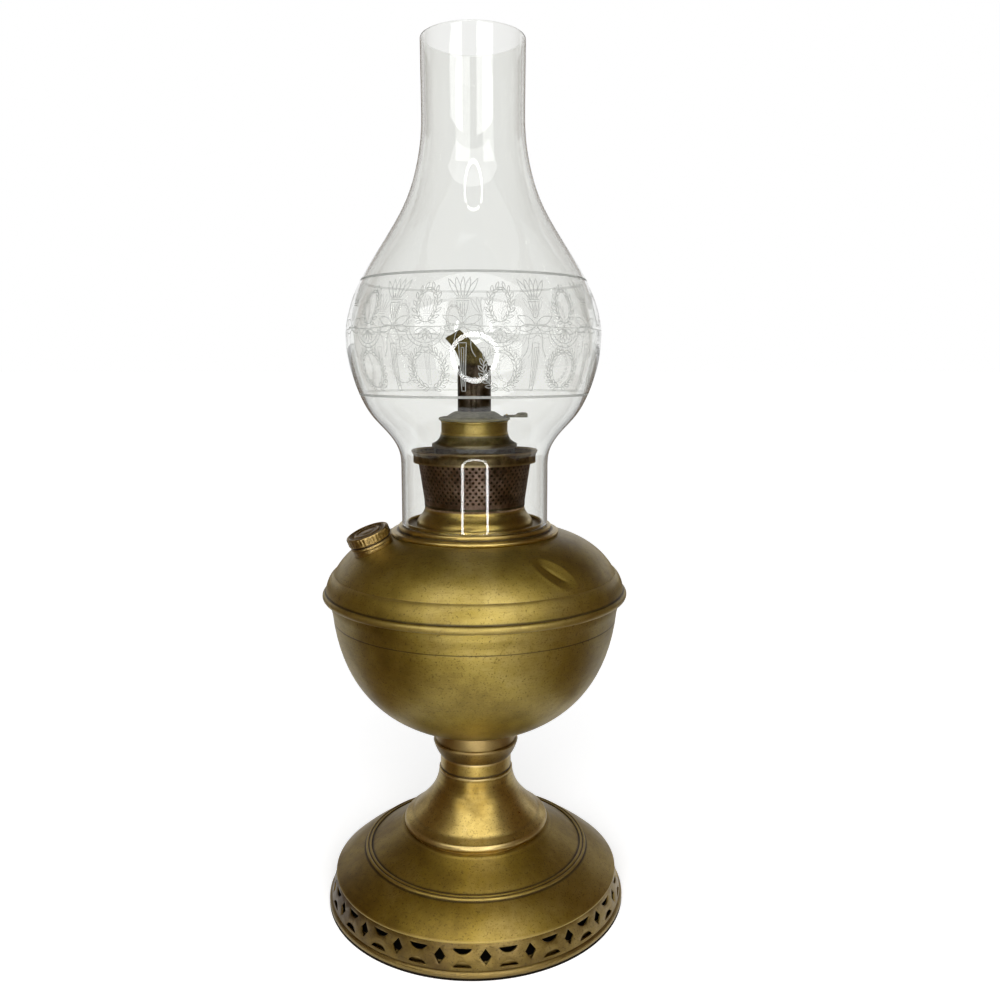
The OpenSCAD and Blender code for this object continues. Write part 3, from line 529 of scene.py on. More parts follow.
aged_brass = brass("aged_brass", (0.18, 0.118, 0.010), (0.36, 0.270, 0.050), (0.50, 0.39, 0.13), 0.46)
# Darker copies of the brass for the foot dome, and for the foot's rim and pierced skirt: painted shade.
shaded_foot_brass = brass("shaded_foot_brass", (0.15, 0.088, 0.005), (0.33, 0.230, 0.028), (0.48, 0.355, 0.10), 0.42)
shaded_skirt_brass = brass("shaded_skirt_brass", (0.075, 0.040, 0.005), (0.20, 0.130, 0.021),
                    (0.40, 0.290, 0.09), 0.40)
clean_brass = brass("clean_brass", (0.24, 0.155, 0.025), (0.46, 0.335, 0.07), (0.60, 0.46, 0.16), 0.32)
# Lighter copy of the brass for the stem: painted highlight.
lit_stem_brass = brass("lit_stem_brass", (0.27, 0.170, 0.018), (0.57, 0.425, 0.125),
                     (0.76, 0.61, 0.31), 0.32)
brown_brass = brass("brown_brass", (0.12, 0.070, 0.014), (0.26, 0.175, 0.042), (0.42, 0.30, 0.11), 0.40)
burner_metal = dark_metal("burner_metal", (0.035, 0.032, 0.022), (0.10, 0.090, 0.06),
                          (0.26, 0.23, 0.16), 0.42)
gallery_metal = dark_metal("gallery_metal", (0.055, 0.043, 0.022), (0.20, 0.155, 0.080),
                           (0.44, 0.35, 0.20), 0.36)
burner_copper = dark_metal("burner_copper", (0.09, 0.056, 0.045), (0.25, 0.175, 0.145),
                           (0.48, 0.38, 0.33), 0.40)
dusty_metal = dark_metal("dusty_metal", (0.14, 0.13, 0.095), (0.27, 0.26, 0.19),
                         (0.40, 0.39, 0.30), 0.55, 0.3)
# Near black for the sheet behind the basket's holes: painted shade.
shade_black = dark_metal("shade_black", (0.006, 0.005, 0.004), (0.014, 0.011, 0.009),
                        (0.04, 0.03, 0.025), 0.55)
sooty_copper = dark_metal("sooty_copper", (0.02, 0.017, 0.014), (0.07, 0.056, 0.044),
                          (0.20, 0.16, 0.12), 0.45)
steel = plain_metal("old_steel", (0.45, 0.44, 0.42), 0.35)
inner_brass = plain_metal("inner_brass", (0.42, 0.31, 0.12), 0.35)
cork_mat = cork("cork_gasket")
cotton = wick_cloth("wick_cotton")
glass = clear_glass("clear_glass")
frost = etched_glass("etched_glass", (0.19, 0.195, 0.185), (0.27, 0.275, 0.26), (0.65, 0.95))
border_frost = etched_glass("etched_border", (0.18, 0.185, 0.175), (0.26, 0.265, 0.25), (0.75, 0.95))


# Turned pieces, straight from the CAD outlines

TURNED = {
    "foot_rim": ("brass", shaded_skirt_brass),
    "foot_dome": ("brass", shaded_foot_brass),
    "stem": ("aged_brass", lit_stem_brass),
    "stem_cup": ("brass", brown_brass),
    "font_boss": ("brass", brown_brass),
    "seam_ring": ("aged_brass", aged_brass),
    "collar_ring": ("brass", clean_brass),
    "font_neck": ("brass", clean_brass),
    "gallery_rim": ("dark_brass", gallery_metal),
    "burner_cone": ("dark_brass", burner_metal),
    "neck_band": ("brass", clean_brass),
    "turning_cap": ("dark_brass", dusty_metal),
}
for node, (slot, material) in TURNED.items():
    verts, faces, wear = lathed(eased(faired(outline_of(node))))
    dress(new_piece("show_" + node, verts, faces, wear=wear), slot, material, node)


# Bowl, with the line scribed round it, and painted shade along that line and towards the stem

SCRIBED_Z = 155.0
SCRIBED_WIDE = 0.75
SCRIBED_DEEP = 0.2
LINE_SHADE = 0.75
LINE_SHADE_H = 0.25
UNDER_SHADE = 0.4
UNDER_SHADE_H = 15.0
plain_bowl = eased(faired(outline_of("font_bowl")))
bowl_outline, line_z = scribed(plain_bowl, SCRIBED_Z, SCRIBED_WIDE, SCRIBED_DEEP)
verts, faces, wear = lathed(bowl_outline, FINE_STEPS)
rise = verts[:, 2] - verts[:, 2].min()
# Painted shade: darker over the lowest part of the bowl, towards the stem, and along the scribed line.
stain = UNDER_SHADE * np.clip(1 - rise / UNDER_SHADE_H, 0, 1)
stain += LINE_SHADE * np.exp(-((verts[:, 2] - line_z) / LINE_SHADE_H) ** 2)
bowl = new_piece("show_font_bowl", verts, faces, wear=wear, stain=stain)
dress(bowl, "brass", aged_brass, "font_bowl")


# Shoulder, dented at the right

DENT_TURN = math.radians(36.3)
DENT_R = 64.8
DENT_Z = 189.0
DENT_DOWN = np.array([0.77, -0.64])
DENT_TILT = math.radians(53)
DENT_HALF = (12.2, 6.2)
DENT_DEEP = 1.0
CREASE_DEEP = 0.55
CREASE_HALF = (8.5, 1.4)
DENT_LIP = 0.22


def dented(verts):
    """Pushes an almond-shaped dent with a crease into the shoulder."""
    radius = np.hypot(verts[:, 0], verts[:, 1])
    across = (np.arctan2(verts[:, 0], -verts[:, 1]) - DENT_TURN) * DENT_R
    down = (radius - DENT_R) * DENT_DOWN[0] + (verts[:, 2] - DENT_Z) * DENT_DOWN[1]
    along = across * math.cos(DENT_TILT) + down * math.sin(DENT_TILT)
    beside = down * math.cos(DENT_TILT) - across * math.sin(DENT_TILT)
    reach = np.hypot(along / DENT_HALF[0], beside / DENT_HALF[1])
    push = -DENT_DEEP * np.clip(1 - reach ** 2, 0, 1) ** 1.5
    crease = np.clip(1 - (along / CREASE_HALF[0]) ** 2, 0, 1)
    crease = crease * np.clip(1 - np.abs(beside) / CREASE_HALF[1], 0, 1)
    push += DENT_LIP * np.exp(-((reach - 1.05) / 0.14) ** 2) - CREASE_DEEP * crease
    level = verts[:, :2] / radius[:, None] * -DENT_DOWN[1]
    out = np.column_stack([level, np.full(len(verts), DENT_DOWN[0])])
    return verts + out * push[:, None]


verts, faces, wear = lathed(eased(faired(outline_of("font_shoulder"))), FINE_STEPS)
shoulder = new_piece("show_font_shoulder", dented(verts), faces, wear=wear)
dress(shoulder, "brass", aged_brass, "font_shoulder")


# Filler cap, turned about its own leaning axis

CAP_STEPS = 288
CAP_KNURLS = 36
KNURL_DEEP = 0.014
CAP_PEARLS = 28
PEARL_AT = 0.70
PEARL_HALF = 0.06
PEARL_HIGH = 0.3


def axis_place(joint):
    """Matrix that takes the Z axis to a joint's place and axis."""
    turn = Vector(joint["axis"]).to_track_quat("Z", "Y").to_matrix().to_4x4()
    return Matrix.Translation(Vector(joint["pos_m"])) @ turn


def filler_cap():
    place = axis_place(JOINT["filler_cap_turn"])
    back = place.inverted()
    own = np.array([back @ v.co for v in frame["nodes"]["filler_cap"].data.vertices]) / MM
    radius = float(np.hypot(own[:, 0], own[:, 1]).max())
    low, top = float(own[:, 2].min()), float(own[:, 2].max())
    bore, seat = radius - 1.9, top - 1.3
    waist = low + 1.5
    path = np.array([
        (bore, low), (radius - 0.5, low), (radius - 0.3, low + 0.5), (radius - 0.5, waist - 0.2),
        (radius - 1.1, waist), (radius - 1.1, waist + 0.6), (radius - 0.1, waist + 0.9),
        (radius, waist + 1.5), (radius, top - 0.7), (radius - 0.3, top - 0.15), (radius - 0.8, top),
        (radius - 1.5, top), (radius - 2.1, top - 0.4), (0.72 * radius, top - 0.45),
        (0.62 * radius, top - 0.45), (0.58 * radius, top - 0.15), (0.53 * radius, top - 0.1),
        (0.48 * radius, top - 0.4), (0.3 * radius, top - 0.45), (0.2 * radius, top - 0.2),
        (0.02, top - 0.1), (0.02, seat), (bore, seat),
    ])
    verts, faces, wear = lathed(eased(faired(path), 0.12), CAP_STEPS)
    r = np.hypot(verts[:, 0], verts[:, 1])
    turn = np.arctan2(verts[:, 0], verts[:, 1])
    side = (r > radius - 0.35) & (verts[:, 2] > waist + 0.8) & (verts[:, 2] < top - 0.4)
    squeeze = np.where(side, 1 - KNURL_DEEP * (0.5 + 0.5 * np.cos(CAP_KNURLS * turn)), 1)
    verts[:, :2] *= squeeze[:, None]
    pearl = np.clip(1 - np.abs(r / radius - PEARL_AT) / PEARL_HALF, 0, 1)
    pearl = pearl * np.clip(np.cos(CAP_PEARLS * turn), 0, 1)
    verts[:, 2] += np.where(verts[:, 2] > top - 0.7, PEARL_HIGH * pearl, 0)
    # The pearls' tops count as ridges: rubbed wear and a painted highlight.
    wear = np.where(pearl > 0.5, 0.6, wear)
    piece = new_piece("show_filler_cap", verts, faces, wear=wear)
    piece.data.transform(place)
    dress(piece, "brass", brown_brass, "filler_cap")


filler_cap()


# Air basket, with its rows of round holes and a sheet of painted shade behind them

HOLE_ROWS = 11
HOLES_ROUND = 58
HOLE_R = 0.74
HOLE_POINTS = 12
BASKET_SHEET = 0.3
# Sheet of painted shade behind the holes: how far inside the wall it stands, and how thick it is.
SHADE_SHEET_IN = 0.45
SHADE_SHEET_THICK = 0.12


def air_basket():
    outline = outline_of("air_basket")
    z_low, z_high = outline[:, 1].min(), outline[:, 1].max()
    margin = 1.9
    rise = (z_high - z_low - 2 * margin) / (HOLE_ROWS - 0.1)
    step = 2 * math.pi / HOLES_ROUND
    pitch = step * outer_radius(outline, (z_low + z_high) / 2)
    tip = (rise ** 2 + pitch ** 2 / 4) / (2 * rise)
    flank = (rise ** 2 - pitch ** 2 / 4) / (2 * rise)
    corners = [(0.5, flank), (0, tip), (-0.5, flank), (-0.5, -flank), (0, -tip), (0.5, -flank)]
    rim = []
    for a, b in zip(corners, corners[1:] + corners[:1]):
        rim += [a, ((a[0] + b[0]) / 2, (a[1] + b[1]) / 2)]
    first = math.atan2(flank, 0.5 * pitch)
    verts, index, faces = [], {}, []

    def point(turn, z):
        """Vertex on the basket's wall, shared by the cells that meet there."""
        key = (round(turn / step * 8) % (8 * HOLES_ROUND), round(z * 100))
        if key not in index:
            r = outer_radius(outline, z)
            index[key] = len(verts)
            verts.append((r * math.sin(turn), -r * math.cos(turn), z))
        return index[key]

    def hole_point(turn, z, k):
        angle = first + k * 2 * math.pi / HOLE_POINTS
        at = z + HOLE_R * math.sin(angle)
        r = outer_radius(outline, at)
        round_to = turn + HOLE_R * math.cos(angle) / r
        verts.append((r * math.sin(round_to), -r * math.cos(round_to), at))
        return len(verts) - 1

    for row in range(HOLE_ROWS):
        z = z_low + margin + (row + 0.45) * rise
        for k in range(HOLES_ROUND):
            turn = (k + 0.5 * (row % 2)) * step
            outer = [point(turn + u * step, z + v) for u, v in rim]
            inner = [hole_point(turn, z, i) for i in range(HOLE_POINTS)]
            for i in range(HOLE_POINTS):
                j = (i + 1) % HOLE_POINTS
                faces.append((outer[i], outer[j], inner[j], inner[i]))
            for edge, share, hem in ((HOLE_ROWS - 1, rim[0:5], z_high), (0, rim[6:11], z_low)):
                if row != edge:
                    continue
                for (u, v), (w, q) in zip(share, share[1:]):
                    faces.append((point(turn + w * step, z + q), point(turn + u * step, z + v),
                                  point(turn + u * step, hem), point(turn + w * step, hem)))
    piece = new_piece("show_air_basket", verts, faces, smooth=False)
    shell = piece.modifiers.new("sheet", "SOLIDIFY")
    shell.thickness = BASKET_SHEET * MM
    shell.offset = -1
    dress(piece, "dark_brass", burner_copper, "air_basket")
    # A thin near-black sheet just inside the basket's wall: painted shade seen through the holes.
    wall = [(outer_radius(outline, z) - SHADE_SHEET_IN, z) for z in (z_low, z_high)]
    shade_sheet = np.array(wall + [(r - SHADE_SHEET_THICK, z) for r, z in wall[::-1]])
    verts, faces, wear = lathed(shade_sheet)
    dress(new_piece("basket_shade_sheet", verts, faces, wear=wear), "dark_brass", shade_black, "air_basket")


air_basket()


# Lever: a flat arm that thickens into a thumb piece

LEVER_EDGE = 0.3


def wick_lever():
    low, high = (np.array(c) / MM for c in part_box("wick_lever"))
    arm = low[2] + 1.15
    half = (high[1] - low[1]) / 2
    end = high[0]
    tops = [(low[0], arm, 0.8), (end - 6.2, arm, 0.8), (end - 5.0, high[2] - 0.3, 0.9),
            (end - 3.2, high[2], 1.0), (end - 0.9, high[2] - 0.05, 1.0), (end, high[2] - 0.5, 0.9)]
    verts = []
    for x, top, share in tops:
        for y, z in ((-1, low[2]), (1, low[2]), (1, top), (-1, top)):
            verts.append((x, y * share * half, z))
    faces = [(3, 2, 1, 0), tuple(len(verts) - 4 + i for i in range(4))]
    for k in range(len(tops) - 1):
        a, b = 4 * k, 4 * k + 4
        faces += [(a + i, a + (i + 1) % 4, b + (i + 1) % 4, b + i) for i in range(4)]
    piece = new_piece("show_wick_lever", verts, faces, smooth=False)
    ease = piece.modifiers.new("bevel", "BEVEL")
    ease.width = LEVER_EDGE * MM
    ease.segments = 3
    dress(piece, "dark_brass", dusty_metal, "wick_lever")


wick_lever()


# Wick tip: a ribbed cloth tube, pinched and bent over to the left

TIP_RIBS = 26
TIP_RINGS = 30
TIP_STEPS = 156
TIP_BEND = math.radians(30)
TIP_HALF = ((0.0, 0.97, 0.97), (0.25, 0.93, 0.84), (0.5, 0.82, 0.62), (0.8, 0.66, 0.42),
            (1.0, 0.58, 0.32))


def wick_tip():
    low, high = (np.array(c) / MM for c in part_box("wick_tip"))
    mouth = low[2]
    wide = (high[1] - low[1]) / 2
    end_half = TIP_HALF[-1][1] * wide
    lean = -low[0] - end_half * math.cos(TIP_BEND) - 0.5
    rise = high[2] - mouth - end_half * math.sin(TIP_BEND) - 0.9
    at, half_x, half_y = (np.array(c) for c in zip(*TIP_HALF))
    turns = np.arange(TIP_STEPS) * 2 * math.pi / TIP_STEPS
    verts, stain = [], []
    for t in np.linspace(0, 1, TIP_RINGS):
        tilt = TIP_BEND * min(1.0, 1.5 * t)
        for a in turns:
            rib = 1 + 0.04 * math.cos(TIP_RIBS * a) * (0.4 + 0.6 * t)
            sway = 1 + 0.04 * math.sin(3 * a + 5 * t) * t
            fray = t ** 8 * (0.08 * math.sin(5 * a + 1) + 0.07 * math.sin(17 * a))
            across = wide * np.interp(t, at, half_x) * rib * sway * math.cos(a)
            x = -lean * t ** 1.5 + across * math.cos(tilt) - fray * math.sin(tilt)
            z = mouth + rise * t + across * math.sin(tilt) * t + fray * math.cos(tilt)
            verts.append((max(x, low[0]), wide * np.interp(t, at, half_y) * rib * sway * math.sin(a),
                          min(max(z, mouth), high[2])))
            # Painted shade: darker just above the tube's mouth and on the lower, left side of the bend.
            stain.append(0.7 * max(0.0, 1 - 7 * t) + 0.35 * max(0.0, -math.cos(a)) * (1 - t))
    n = TIP_STEPS
    faces = []
    for j in range(TIP_RINGS - 1):
        a, b = j * n, (j + 1) * n
        faces += [(a + i, a + (i + 1) % n, b + (i + 1) % n, b + i) for i in range(n)]
    piece = new_piece("show_wick_tip", verts, faces, stain=stain)
    shell = piece.modifiers.new("cloth", "SOLIDIFY")
    shell.thickness = 0.9 * MM
    shell.offset = -1
    dress(piece, "wick", cotton, "wick_tip")
    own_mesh(piece)


wick_tip()


# Chimney and its etched frieze

GLASS = ("glass_base", "glass_swell", "glass_bulb", "glass_neck")
chimney_outline = eased(smoothed(faired(joined_outline(GLASS))), 0.8, 6)
verts, faces, wear = lathed(chimney_outline, FINE_STEPS)
dress(new_piece("show_chimney", verts, faces, wear=wear), "glass", glass, *GLASS)

UNITS = 12
FIRST_TORCH = math.radians(-3.0)
LIFT = 0.06
FINE_LINE = 0.36
LINE_STEP = 1.5
BORDER_LINE = 1.2
BORDERS = (270.5, 326.0)
GIRTH_R = 63.0
WREATH_U = math.pi * GIRTH_R / UNITS


class Etching:
    """Flat ribbons on the glass, drawn once per unit of the frieze and repeated round it."""

    def __init__(self):
        self.verts, self.faces = [], []

    def place(self, u, z, turn):
        r = outer_radius(chimney_outline, z)
        angle = turn + u / r
        return (r + LIFT) * math.sin(angle), -(r + LIFT) * math.cos(angle), z

    def refined(self, points, closed):
        """Adds points to long stretches, so that they follow the bulge of the glass."""
        ends = np.roll(points, -1, axis=0) if closed else np.vstack([points[1:], points[-1:]])
        made = []
        for p, q in zip(points, ends):
            parts = max(1, math.ceil(np.linalg.norm(q - p) / LINE_STEP))
            made += [p + (q - p) * i / parts for i in range(parts)]
        return np.array(made)

    def line(self, points, wide=FINE_LINE, closed=False):
        points = self.refined(np.array(points, float), closed)
        if closed:
            way = np.roll(points, -1, axis=0) - np.roll(points, 1, axis=0)
        else:
            way = np.gradient(points, axis=0)
        way /= np.maximum(np.linalg.norm(way, axis=1), 1e-9)[:, None]
        aside = np.column_stack([-way[:, 1], way[:, 0]]) * wide / 2
        n = len(points)
        for k in range(UNITS):
            turn = FIRST_TORCH + k * 2 * math.pi / UNITS
            start = len(self.verts)
            for p, s in zip(points, aside):
                self.verts += [self.place(*(p + s), turn), self.place(*(p - s), turn)]
            for i in range(n if closed else n - 1):
                a, b = start + 2 * i, start + 2 * ((i + 1) % n)
                self.faces.append((a, a + 1, b + 1, b))

    def leaf(self, root, degrees, length, wide, points=6):
        """Outline of a pointed leaf."""
        t = np.linspace(0, 1, points)
        ahead = np.array([math.cos(math.radians(degrees)), math.sin(math.radians(degrees))])
        aside = np.array([-ahead[1], ahead[0]])
        bulge = wide / 2 * np.sin(np.pi * t)
        left = np.array(root) + np.outer(t * length, ahead) + np.outer(bulge, aside)
        right = np.array(root) + np.outer(t * length, ahead) - np.outer(bulge, aside)
        self.line(np.vstack([left, right[-2:0:-1]]), closed=True)

    def wreath(self, u, z, half_w, half_h, leaves, length):
        """Two leafy branches that cross at the bottom and leave the top open."""
        for side in (-1, 1):
            angles = np.linspace(-0.16, 0.86, leaves) * math.pi
            stem = np.column_stack([u + side * half_w * np.sin(angles), z - half_h * np.cos(angles)])
            self.line(stem, 0.8 * FINE_LINE)
            for p, a in list(zip(stem, angles))[2:]:
                heading = math.degrees(math.atan2(half_h * math.sin(a), side * half_w * math.cos(a)))
                for spread in (-32, 32):
                    self.leaf(p, heading + spread, length, 0.36 * length)

    def borders(self):
        for z in BORDERS:
            r = outer_radius(chimney_outline, z)
            self.line([(u * r / GIRTH_R, z) for u in np.linspace(0, 2 * WREATH_U, 9)], BORDER_LINE)

    def frieze(self):
        self.torch()
        self.bow()
        self.pendant()
        self.wreath(WREATH_U, 311.2, 4.9, 7.6, 9, 3.4)
        self.wreath(WREATH_U, 283.2, 7.6, 8.6, 11, 3.6)
        self.swag()

    def torch(self):
        """Flame of five leaves on a fluted cup."""
        flame = ((90, 9.2, 0), (76, 9.4, 0.9), (104, 9.4, -0.9), (60, 9.8, 1.7), (120, 9.8, -1.7))
        for degrees, length, at in flame:
            self.leaf((at, 314.2), degrees, length, 2.1)
        self.line([(-3.0, 313.8), (3.0, 313.8)])
        self.line([(-2.8, 312.7), (2.8, 312.7)])
        turn = np.linspace(0, math.pi, 9)
        cup = [309 - 3.4 * math.sin(a) + 3.2 * abs(math.cos(a)) ** 3 for a in turn]
        self.line([(2.5 * math.cos(a), z) for a, z in zip(turn, cup)])
        for u in (-1.0, 0, 1.0):
            self.line([(u, 312.0), (0.85 * u, 306.6)], 0.8 * FINE_LINE)

    def bow(self):
        """Two loops and a tail on each side of a knot."""
        for side in (0, 180):
            lean = 1 if side == 0 else -1
            self.leaf((0, 302.4), side + 24 * lean, 9.6, 3.6, 8)
            self.leaf((0, 302.0), side - 10 * lean, 9.2, 3.0, 8)
            tail = np.linspace(0, 1, 9)
            self.line([(lean * (1 + 5 * t + 0.8 * math.sin(6 * t)), 301.5 - 13 * t) for t in tail])
        turn = np.linspace(0, 2 * math.pi, 9)[:-1]
        self.line([(1.1 * math.cos(a), 302.2 + 1.3 * math.sin(a)) for a in turn], closed=True)

    def pendant(self):
        """Long tapering strip under the torch, with a line down its middle."""
        edge = [(-1.7, 294.6), (1.7, 294.6), (1.3, 286), (0.8, 273.4), (-0.8, 273.4), (-1.3, 286)]
        inner = [(-0.6, 292.5), (0.6, 292.5), (0.25, 275.5), (-0.25, 275.5)]
        self.line(edge, closed=True)
        self.line(inner, 0.8 * FINE_LINE, closed=True)

    def swag(self):
        """Rope between two bows, with a half rosette hanging from it."""
        across = np.linspace(-1, 1, 13)
        self.line([(WREATH_U + 13.5 * x, 301.6 + 0.5 * x * x) for x in across])
        for half, deep in ((9.4, 8.4), (7.6, 6.6)):
            arc = np.linspace(0, math.pi, 13)
            self.line([(WREATH_U + half * math.cos(a), 301.2 - deep * math.sin(a)) for a in arc])
        for degrees in (-160, -125, -90, -55, -20):
            self.leaf((WREATH_U, 300.8), degrees, 5.8, 2.2)


lines, bands = Etching(), Etching()
lines.frieze()
bands.borders()
etched = (("etched_frieze", lines, frost), ("etched_borders", bands, border_frost))
for name, drawn, material in etched:
    dress(new_piece(name, drawn.verts, drawn.faces, smooth=False), "glass", material, *GLASS)


# CAD nodes that stay

KEPT = {
    "pierced_skirt": ("brass", shaded_skirt_brass, 0.14),
    "cup_screw": ("steel", steel, 0.12),
    "tie_spider": ("dark_brass", inner_brass, 0),
    "tube_nut": ("aged_brass", inner_brass, 0),
    "draft_tube": ("aged_brass", inner_brass, 0),
    "boss_washer": ("gasket", cork_mat, 0),
    "boss_nut": ("aged_brass", inner_brass, 0),
    "filler_neck": ("aged_brass", brown_brass, 0.12),
    "filler_gasket": ("gasket", cork_mat, 0),
    "burner_gasket": ("gasket", cork_mat, 0),
    "burner_spigot": ("dark_brass", burner_metal, 0),
    "burner_floor": ("dark_brass", burner_metal, 0),
    "wick_tube": ("copper", sooty_copper, 0.1),
    "lever_rivets": ("aged_brass", inner_brass, 0.05),
    "raiser_sleeve": ("aged_brass", inner_brass, 0),
    "wick": ("wick", cotton, 0),
    "wick_carrier": ("aged_brass", inner_brass, 0),
    "carrier_pins": ("steel", steel, 0),
}
for node, (slot, material, bevel) in KEPT.items():
    finish_node(node, material, bevel)


# Studio: a white room, a ring lamp low in front, soft lights above and in front, dark cards around

CAMERA_AT = Vector((13.1, -470, 285.4)) * MM
CAMERA_DOWN = 8.45
FOCAL_SHARE = 0.916
RING_AT = Vector((0.02, -0.60, 0.12))
RING_R = 0.205
RING_WIDE = 0.043
RING_STRENGTH = 12.5
FLAG_BROWN = (0.14, 0.072, 0.010)
FLAG_X = 0.6
FLAG_FRONT = -0.9
FLAG_BACK = 0.45
ROOF_X = 1.2
ROOF_BACK = 1.4
ROOF_LOW = 0.7
FLAG_TOP = 1.25
FLAG_FOOT = -0.7
TABLE_FRONT = -0.22
FLOOR_FLAG_X = {"left": (0.10, 0.6), "right": (0.13, 0.6)}
FLOOR_FLAG_Y = (-0.7, 0.08)
LOW_FLAG_X = (0.22, 1.0)
LOW_FLAG_Y = 0.9
LOW_FLAG_HIGH = 0.22
TOP_LIGHT_X = 0.58
TOP_LIGHT_Y = (-0.8, -0.42)
TOP_LIGHT_Z = 0.95
TOP_LIGHT = 2.7
FRONT_LIGHT_X = {"left": (-0.58, -0.20), "right": (0.08, 0.50)}
FRONT_LIGHT_Y = -0.50
FRONT_LIGHT_Z = (0.33, 0.66)
FRONT_LIGHT = 3.0
ROOM_LIGHT = 0.55
FILL_POWER = 2.5
FLOOR_GLOW = (0.36, 0.56)
GLOW_R = 0.45
FOOT_R = (cad_high.x - cad_low.x) / 2


def white_room():
    """White for the camera, mirrors and glass; softer as a lamp."""
    world = bpy.data.worlds.new("studio")
    bpy.context.scene.world = world
    world.use_nodes = True
    tree = world.node_tree
    shade = tree.nodes["Background"]
    path = tree.nodes.new("ShaderNodeLightPath")
    seen = path.outputs["Is Camera Ray"]
    for more in ("Is Glossy Ray", "Is Transmission Ray"):
        either = tree.nodes.new("ShaderNodeMath")
        either.operation = "MAXIMUM"
        tree.links.new(seen, either.inputs[0])
        tree.links.new(path.outputs[more], either.inputs[1])
        seen = either.outputs["Value"]
    level = tree.nodes.new("ShaderNodeMapRange")
    level.inputs["To Min"].default_value = ROOM_LIGHT
    level.inputs["To Max"].default_value = 1.0
    tree.links.new(seen, level.inputs["Value"])
    shade.inputs["Color"].default_value = (1, 1, 1, 1)
    tree.links.new(level.outputs["Result"], shade.inputs["Strength"])


def studio_floor():
    """Pale floor that meets the white room without an edge and still takes the lamp's shadow, with a
    painted shadow in near black under the foot.
    """
    bpy.ops.mesh.primitive_grid_add(x_subdivisions=8, y_subdivisions=8, size=60)
    floor = bpy.context.object
    floor.name = "floor"
    s = Shader("pale_floor", roughness=0.9, specular_ior_level=0.0)
    path = s.node("LightPath")
    passed, mirrors = path.outputs["Is Transmission Ray"], path.outputs["Glossy Depth"]
    through_glass = s.math("SUBTRACT", passed, mirrors)
    seen = s.math("MAXIMUM", path.outputs["Is Camera Ray"], through_glass)
    away = s.node("VectorMath", operation="LENGTH")
    s.link(s.places(), away.inputs[0])
    open_floor = s.math("GREATER_THAN", away.outputs["Value"], FOOT_R)
    pale = s.ramp(s.noise(300, 2, 0.5), [(0.3, 0.86), (0.7, 0.90)])
    # Under the foot, seen only through the pierced skirt, the floor is painted near black: painted
    # shadow.
    s.set("Base Color", s.mix(open_floor, (0.02, 0.016, 0.012), pale))
    glow = s.node("MapRange")
    for name, value in zip(("From Min", "From Max", "To Min", "To Max"), (FOOT_R, GLOW_R, *FLOOR_GLOW)):
        glow.inputs[name].default_value = value
    s.link(away.outputs["Value"], glow.inputs["Value"])
    lit = s.math("MULTIPLY", seen, open_floor)
    s.set("Emission Strength", s.math("MULTIPLY", lit, glow.outputs["Result"]))
    split = s.node("SeparateXYZ")
    s.link(s.places(), split.inputs["Vector"])
    in_front = s.math("LESS_THAN", split.outputs["Y"], TABLE_FRONT)
    mirrored = s.math("MINIMUM", mirrors, 1.0)
    s.shown_part(s.math("SUBTRACT", 1.0, s.math("MULTIPLY", in_front, mirrored)))
    floor.data.materials.append(s.material)


def mirrored_only(s, shown, in_glass=True):
    """Makes a piece of the studio show in mirrors alone, also behind glass, or not within the glass."""
    path = s.node("LightPath")
    share = s.math("MINIMUM", path.outputs["Glossy Depth"], 1.0)
    if not in_glass:
        off = s.math("ABSOLUTE", s.math("SUBTRACT", path.outputs["Transmission Depth"], 2.0))
        again = s.math("GREATER_THAN", path.outputs["Glossy Depth"], 1.5)
        share = s.math("MULTIPLY", share, s.math("MAXIMUM", s.math("GREATER_THAN", off, 0.5), again))
    s.shown_part(share)
    s.material.cycles.emission_sampling = "NONE"
    shown.data.materials.append(s.material)
    shown.visible_camera = False
    shown.visible_shadow = False
    shown.visible_diffuse = False


def ring_lamp():
    """Flat glowing ring that faces the lamp."""
    steps = 96
    verts, faces = [], []
    for k in range(steps):
        a = k * 2 * math.pi / steps
        for r in (RING_R - RING_WIDE / 2, RING_R + RING_WIDE / 2):
            verts.append((r * math.cos(a) / MM, r * math.sin(a) / MM, 0))
        j = (k + 1) % steps
        faces.append((2 * k, 2 * k + 1, 2 * j + 1, 2 * j))
    ring = new_piece("ring_lamp", verts, faces, smooth=False)
    ring.location = RING_AT
    ring.rotation_euler = (MIDDLE - RING_AT).to_track_quat("Z", "Y").to_euler()
    s = Shader("ring_glow", base_color=(0, 0, 0, 1), emission_strength=RING_STRENGTH)
    mirrored_only(s, ring)


def card(name, corners, glow=0.0, in_glass=False):
    """Dark card that keeps the white room out of the brass, or a glowing one that lights it."""
    shown = new_piece(name, np.array(corners) / MM, [(0, 1, 2, 3)], smooth=False)
    s = Shader(name + "_card", roughness=1.0, base_color=(*FLAG_BROWN, 1), emission_strength=glow)
    mirrored_only(s, shown, in_glass)


def upright_card(name, start, end, low=FLAG_FOOT, high=FLAG_TOP, **light):
    card(name, [(*start, low), (*end, low), (*end, high), (*start, high)], **light)


def level_card(name, xs, ys, z, **light):
    card(name, [(xs[0], ys[0], z), (xs[1], ys[0], z), (xs[1], ys[1], z), (xs[0], ys[1], z)], **light)


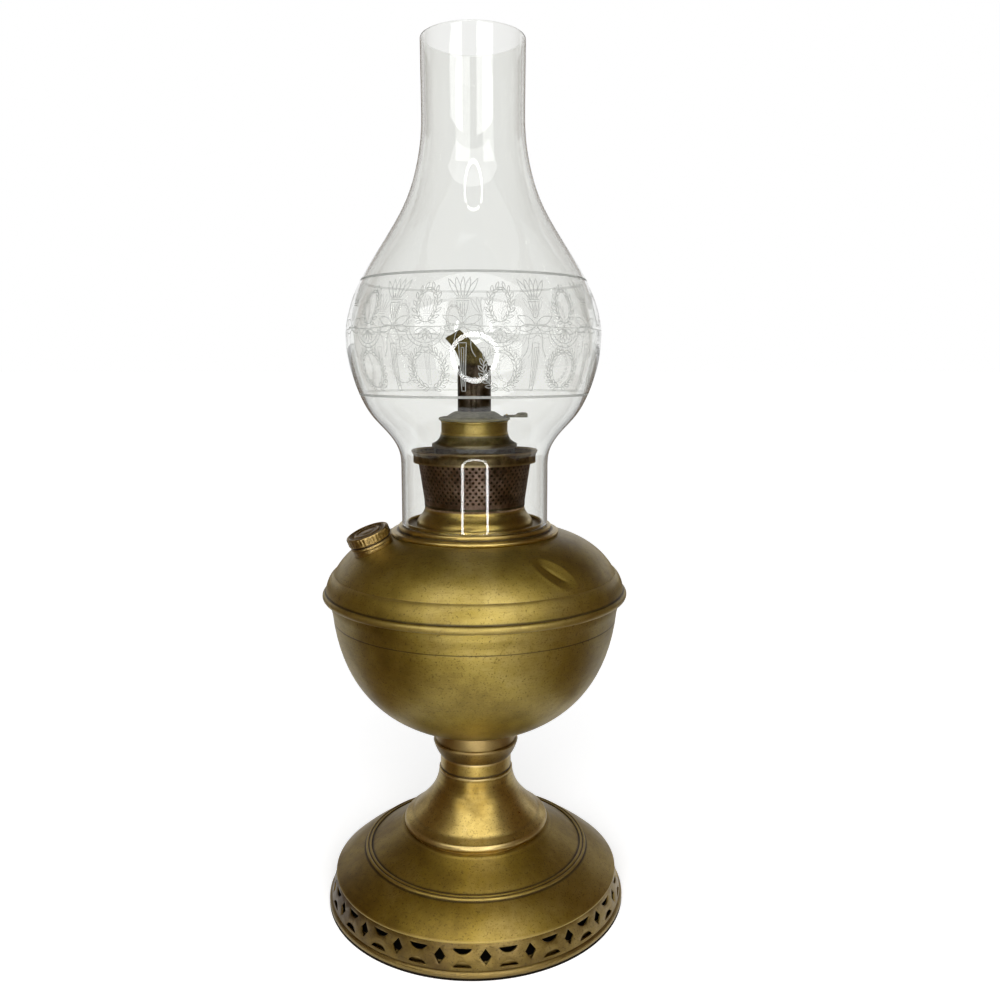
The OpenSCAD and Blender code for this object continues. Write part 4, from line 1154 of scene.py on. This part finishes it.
def soft_light(name, place, size, power, aim):
    lamp = bpy.data.lights.new(name, "AREA")
    lamp.shape = "DISK"
    lamp.size = size
    lamp.energy = power
    shown = bpy.data.objects.new(name, lamp)
    shown.location = place
    shown.rotation_euler = (Vector(aim) - Vector(place)).to_track_quat("-Z", "Y").to_euler()
    bpy.context.scene.collection.objects.link(shown)
    shown.visible_glossy = False
    shown.visible_transmission = False


camera = bpy.data.cameras.new("camera")
camera.sensor_width = 36
camera.lens = camera.sensor_width * FOCAL_SHARE
camera.clip_start = 0.01
shown_camera = bpy.data.objects.new("camera", camera)
shown_camera.location = CAMERA_AT
shown_camera.rotation_euler = (math.radians(90 - CAMERA_DOWN), 0, 0)
bpy.context.scene.collection.objects.link(shown_camera)
bpy.context.scene.camera = shown_camera

MIDDLE = (cad_low + cad_high) / 2
white_room()
studio_floor()
ring_lamp()
soft_light("front_fill", CAMERA_AT, 0.33, FILL_POWER, MIDDLE)
for side, name in ((-1, "left"), (1, "right")):
    upright_card("flag_" + name, (side * FLAG_X, FLAG_FRONT), (side * FLAG_X, FLAG_BACK), in_glass=True)
    upright_card("upper_flag_" + name, (side * ROOF_X, FLAG_BACK), (side * ROOF_X, ROOF_BACK), ROOF_LOW)
    level_card("floor_flag_" + name, [side * x for x in FLOOR_FLAG_X[name]], FLOOR_FLAG_Y, MM)
    start, end = [(side * x, LOW_FLAG_Y) for x in LOW_FLAG_X]
    upright_card("low_flag_" + name, start, end, MM, LOW_FLAG_HIGH)
upright_card("flag_front", (-FLAG_X, FLAG_FRONT), (FLAG_X, FLAG_FRONT), in_glass=True)
upright_card("upper_flag_back", (-ROOF_X, ROOF_BACK), (ROOF_X, ROOF_BACK), ROOF_LOW)
level_card("flag_under", (-FLAG_X, FLAG_X), (FLAG_FRONT, TABLE_FRONT), FLAG_FOOT, in_glass=True)
level_card("flag_top", (-ROOF_X, ROOF_X), (FLAG_FRONT, ROOF_BACK), FLAG_TOP)
level_card("top_light", (-TOP_LIGHT_X, TOP_LIGHT_X), TOP_LIGHT_Y, TOP_LIGHT_Z, glow=TOP_LIGHT)
for name, (start, end) in FRONT_LIGHT_X.items():
    upright_card("front_light_" + name, (start, FRONT_LIGHT_Y), (end, FRONT_LIGHT_Y), *FRONT_LIGHT_Z,
                 glow=FRONT_LIGHT, in_glass=True)
bpy.context.scene.view_settings.view_transform = "Standard"
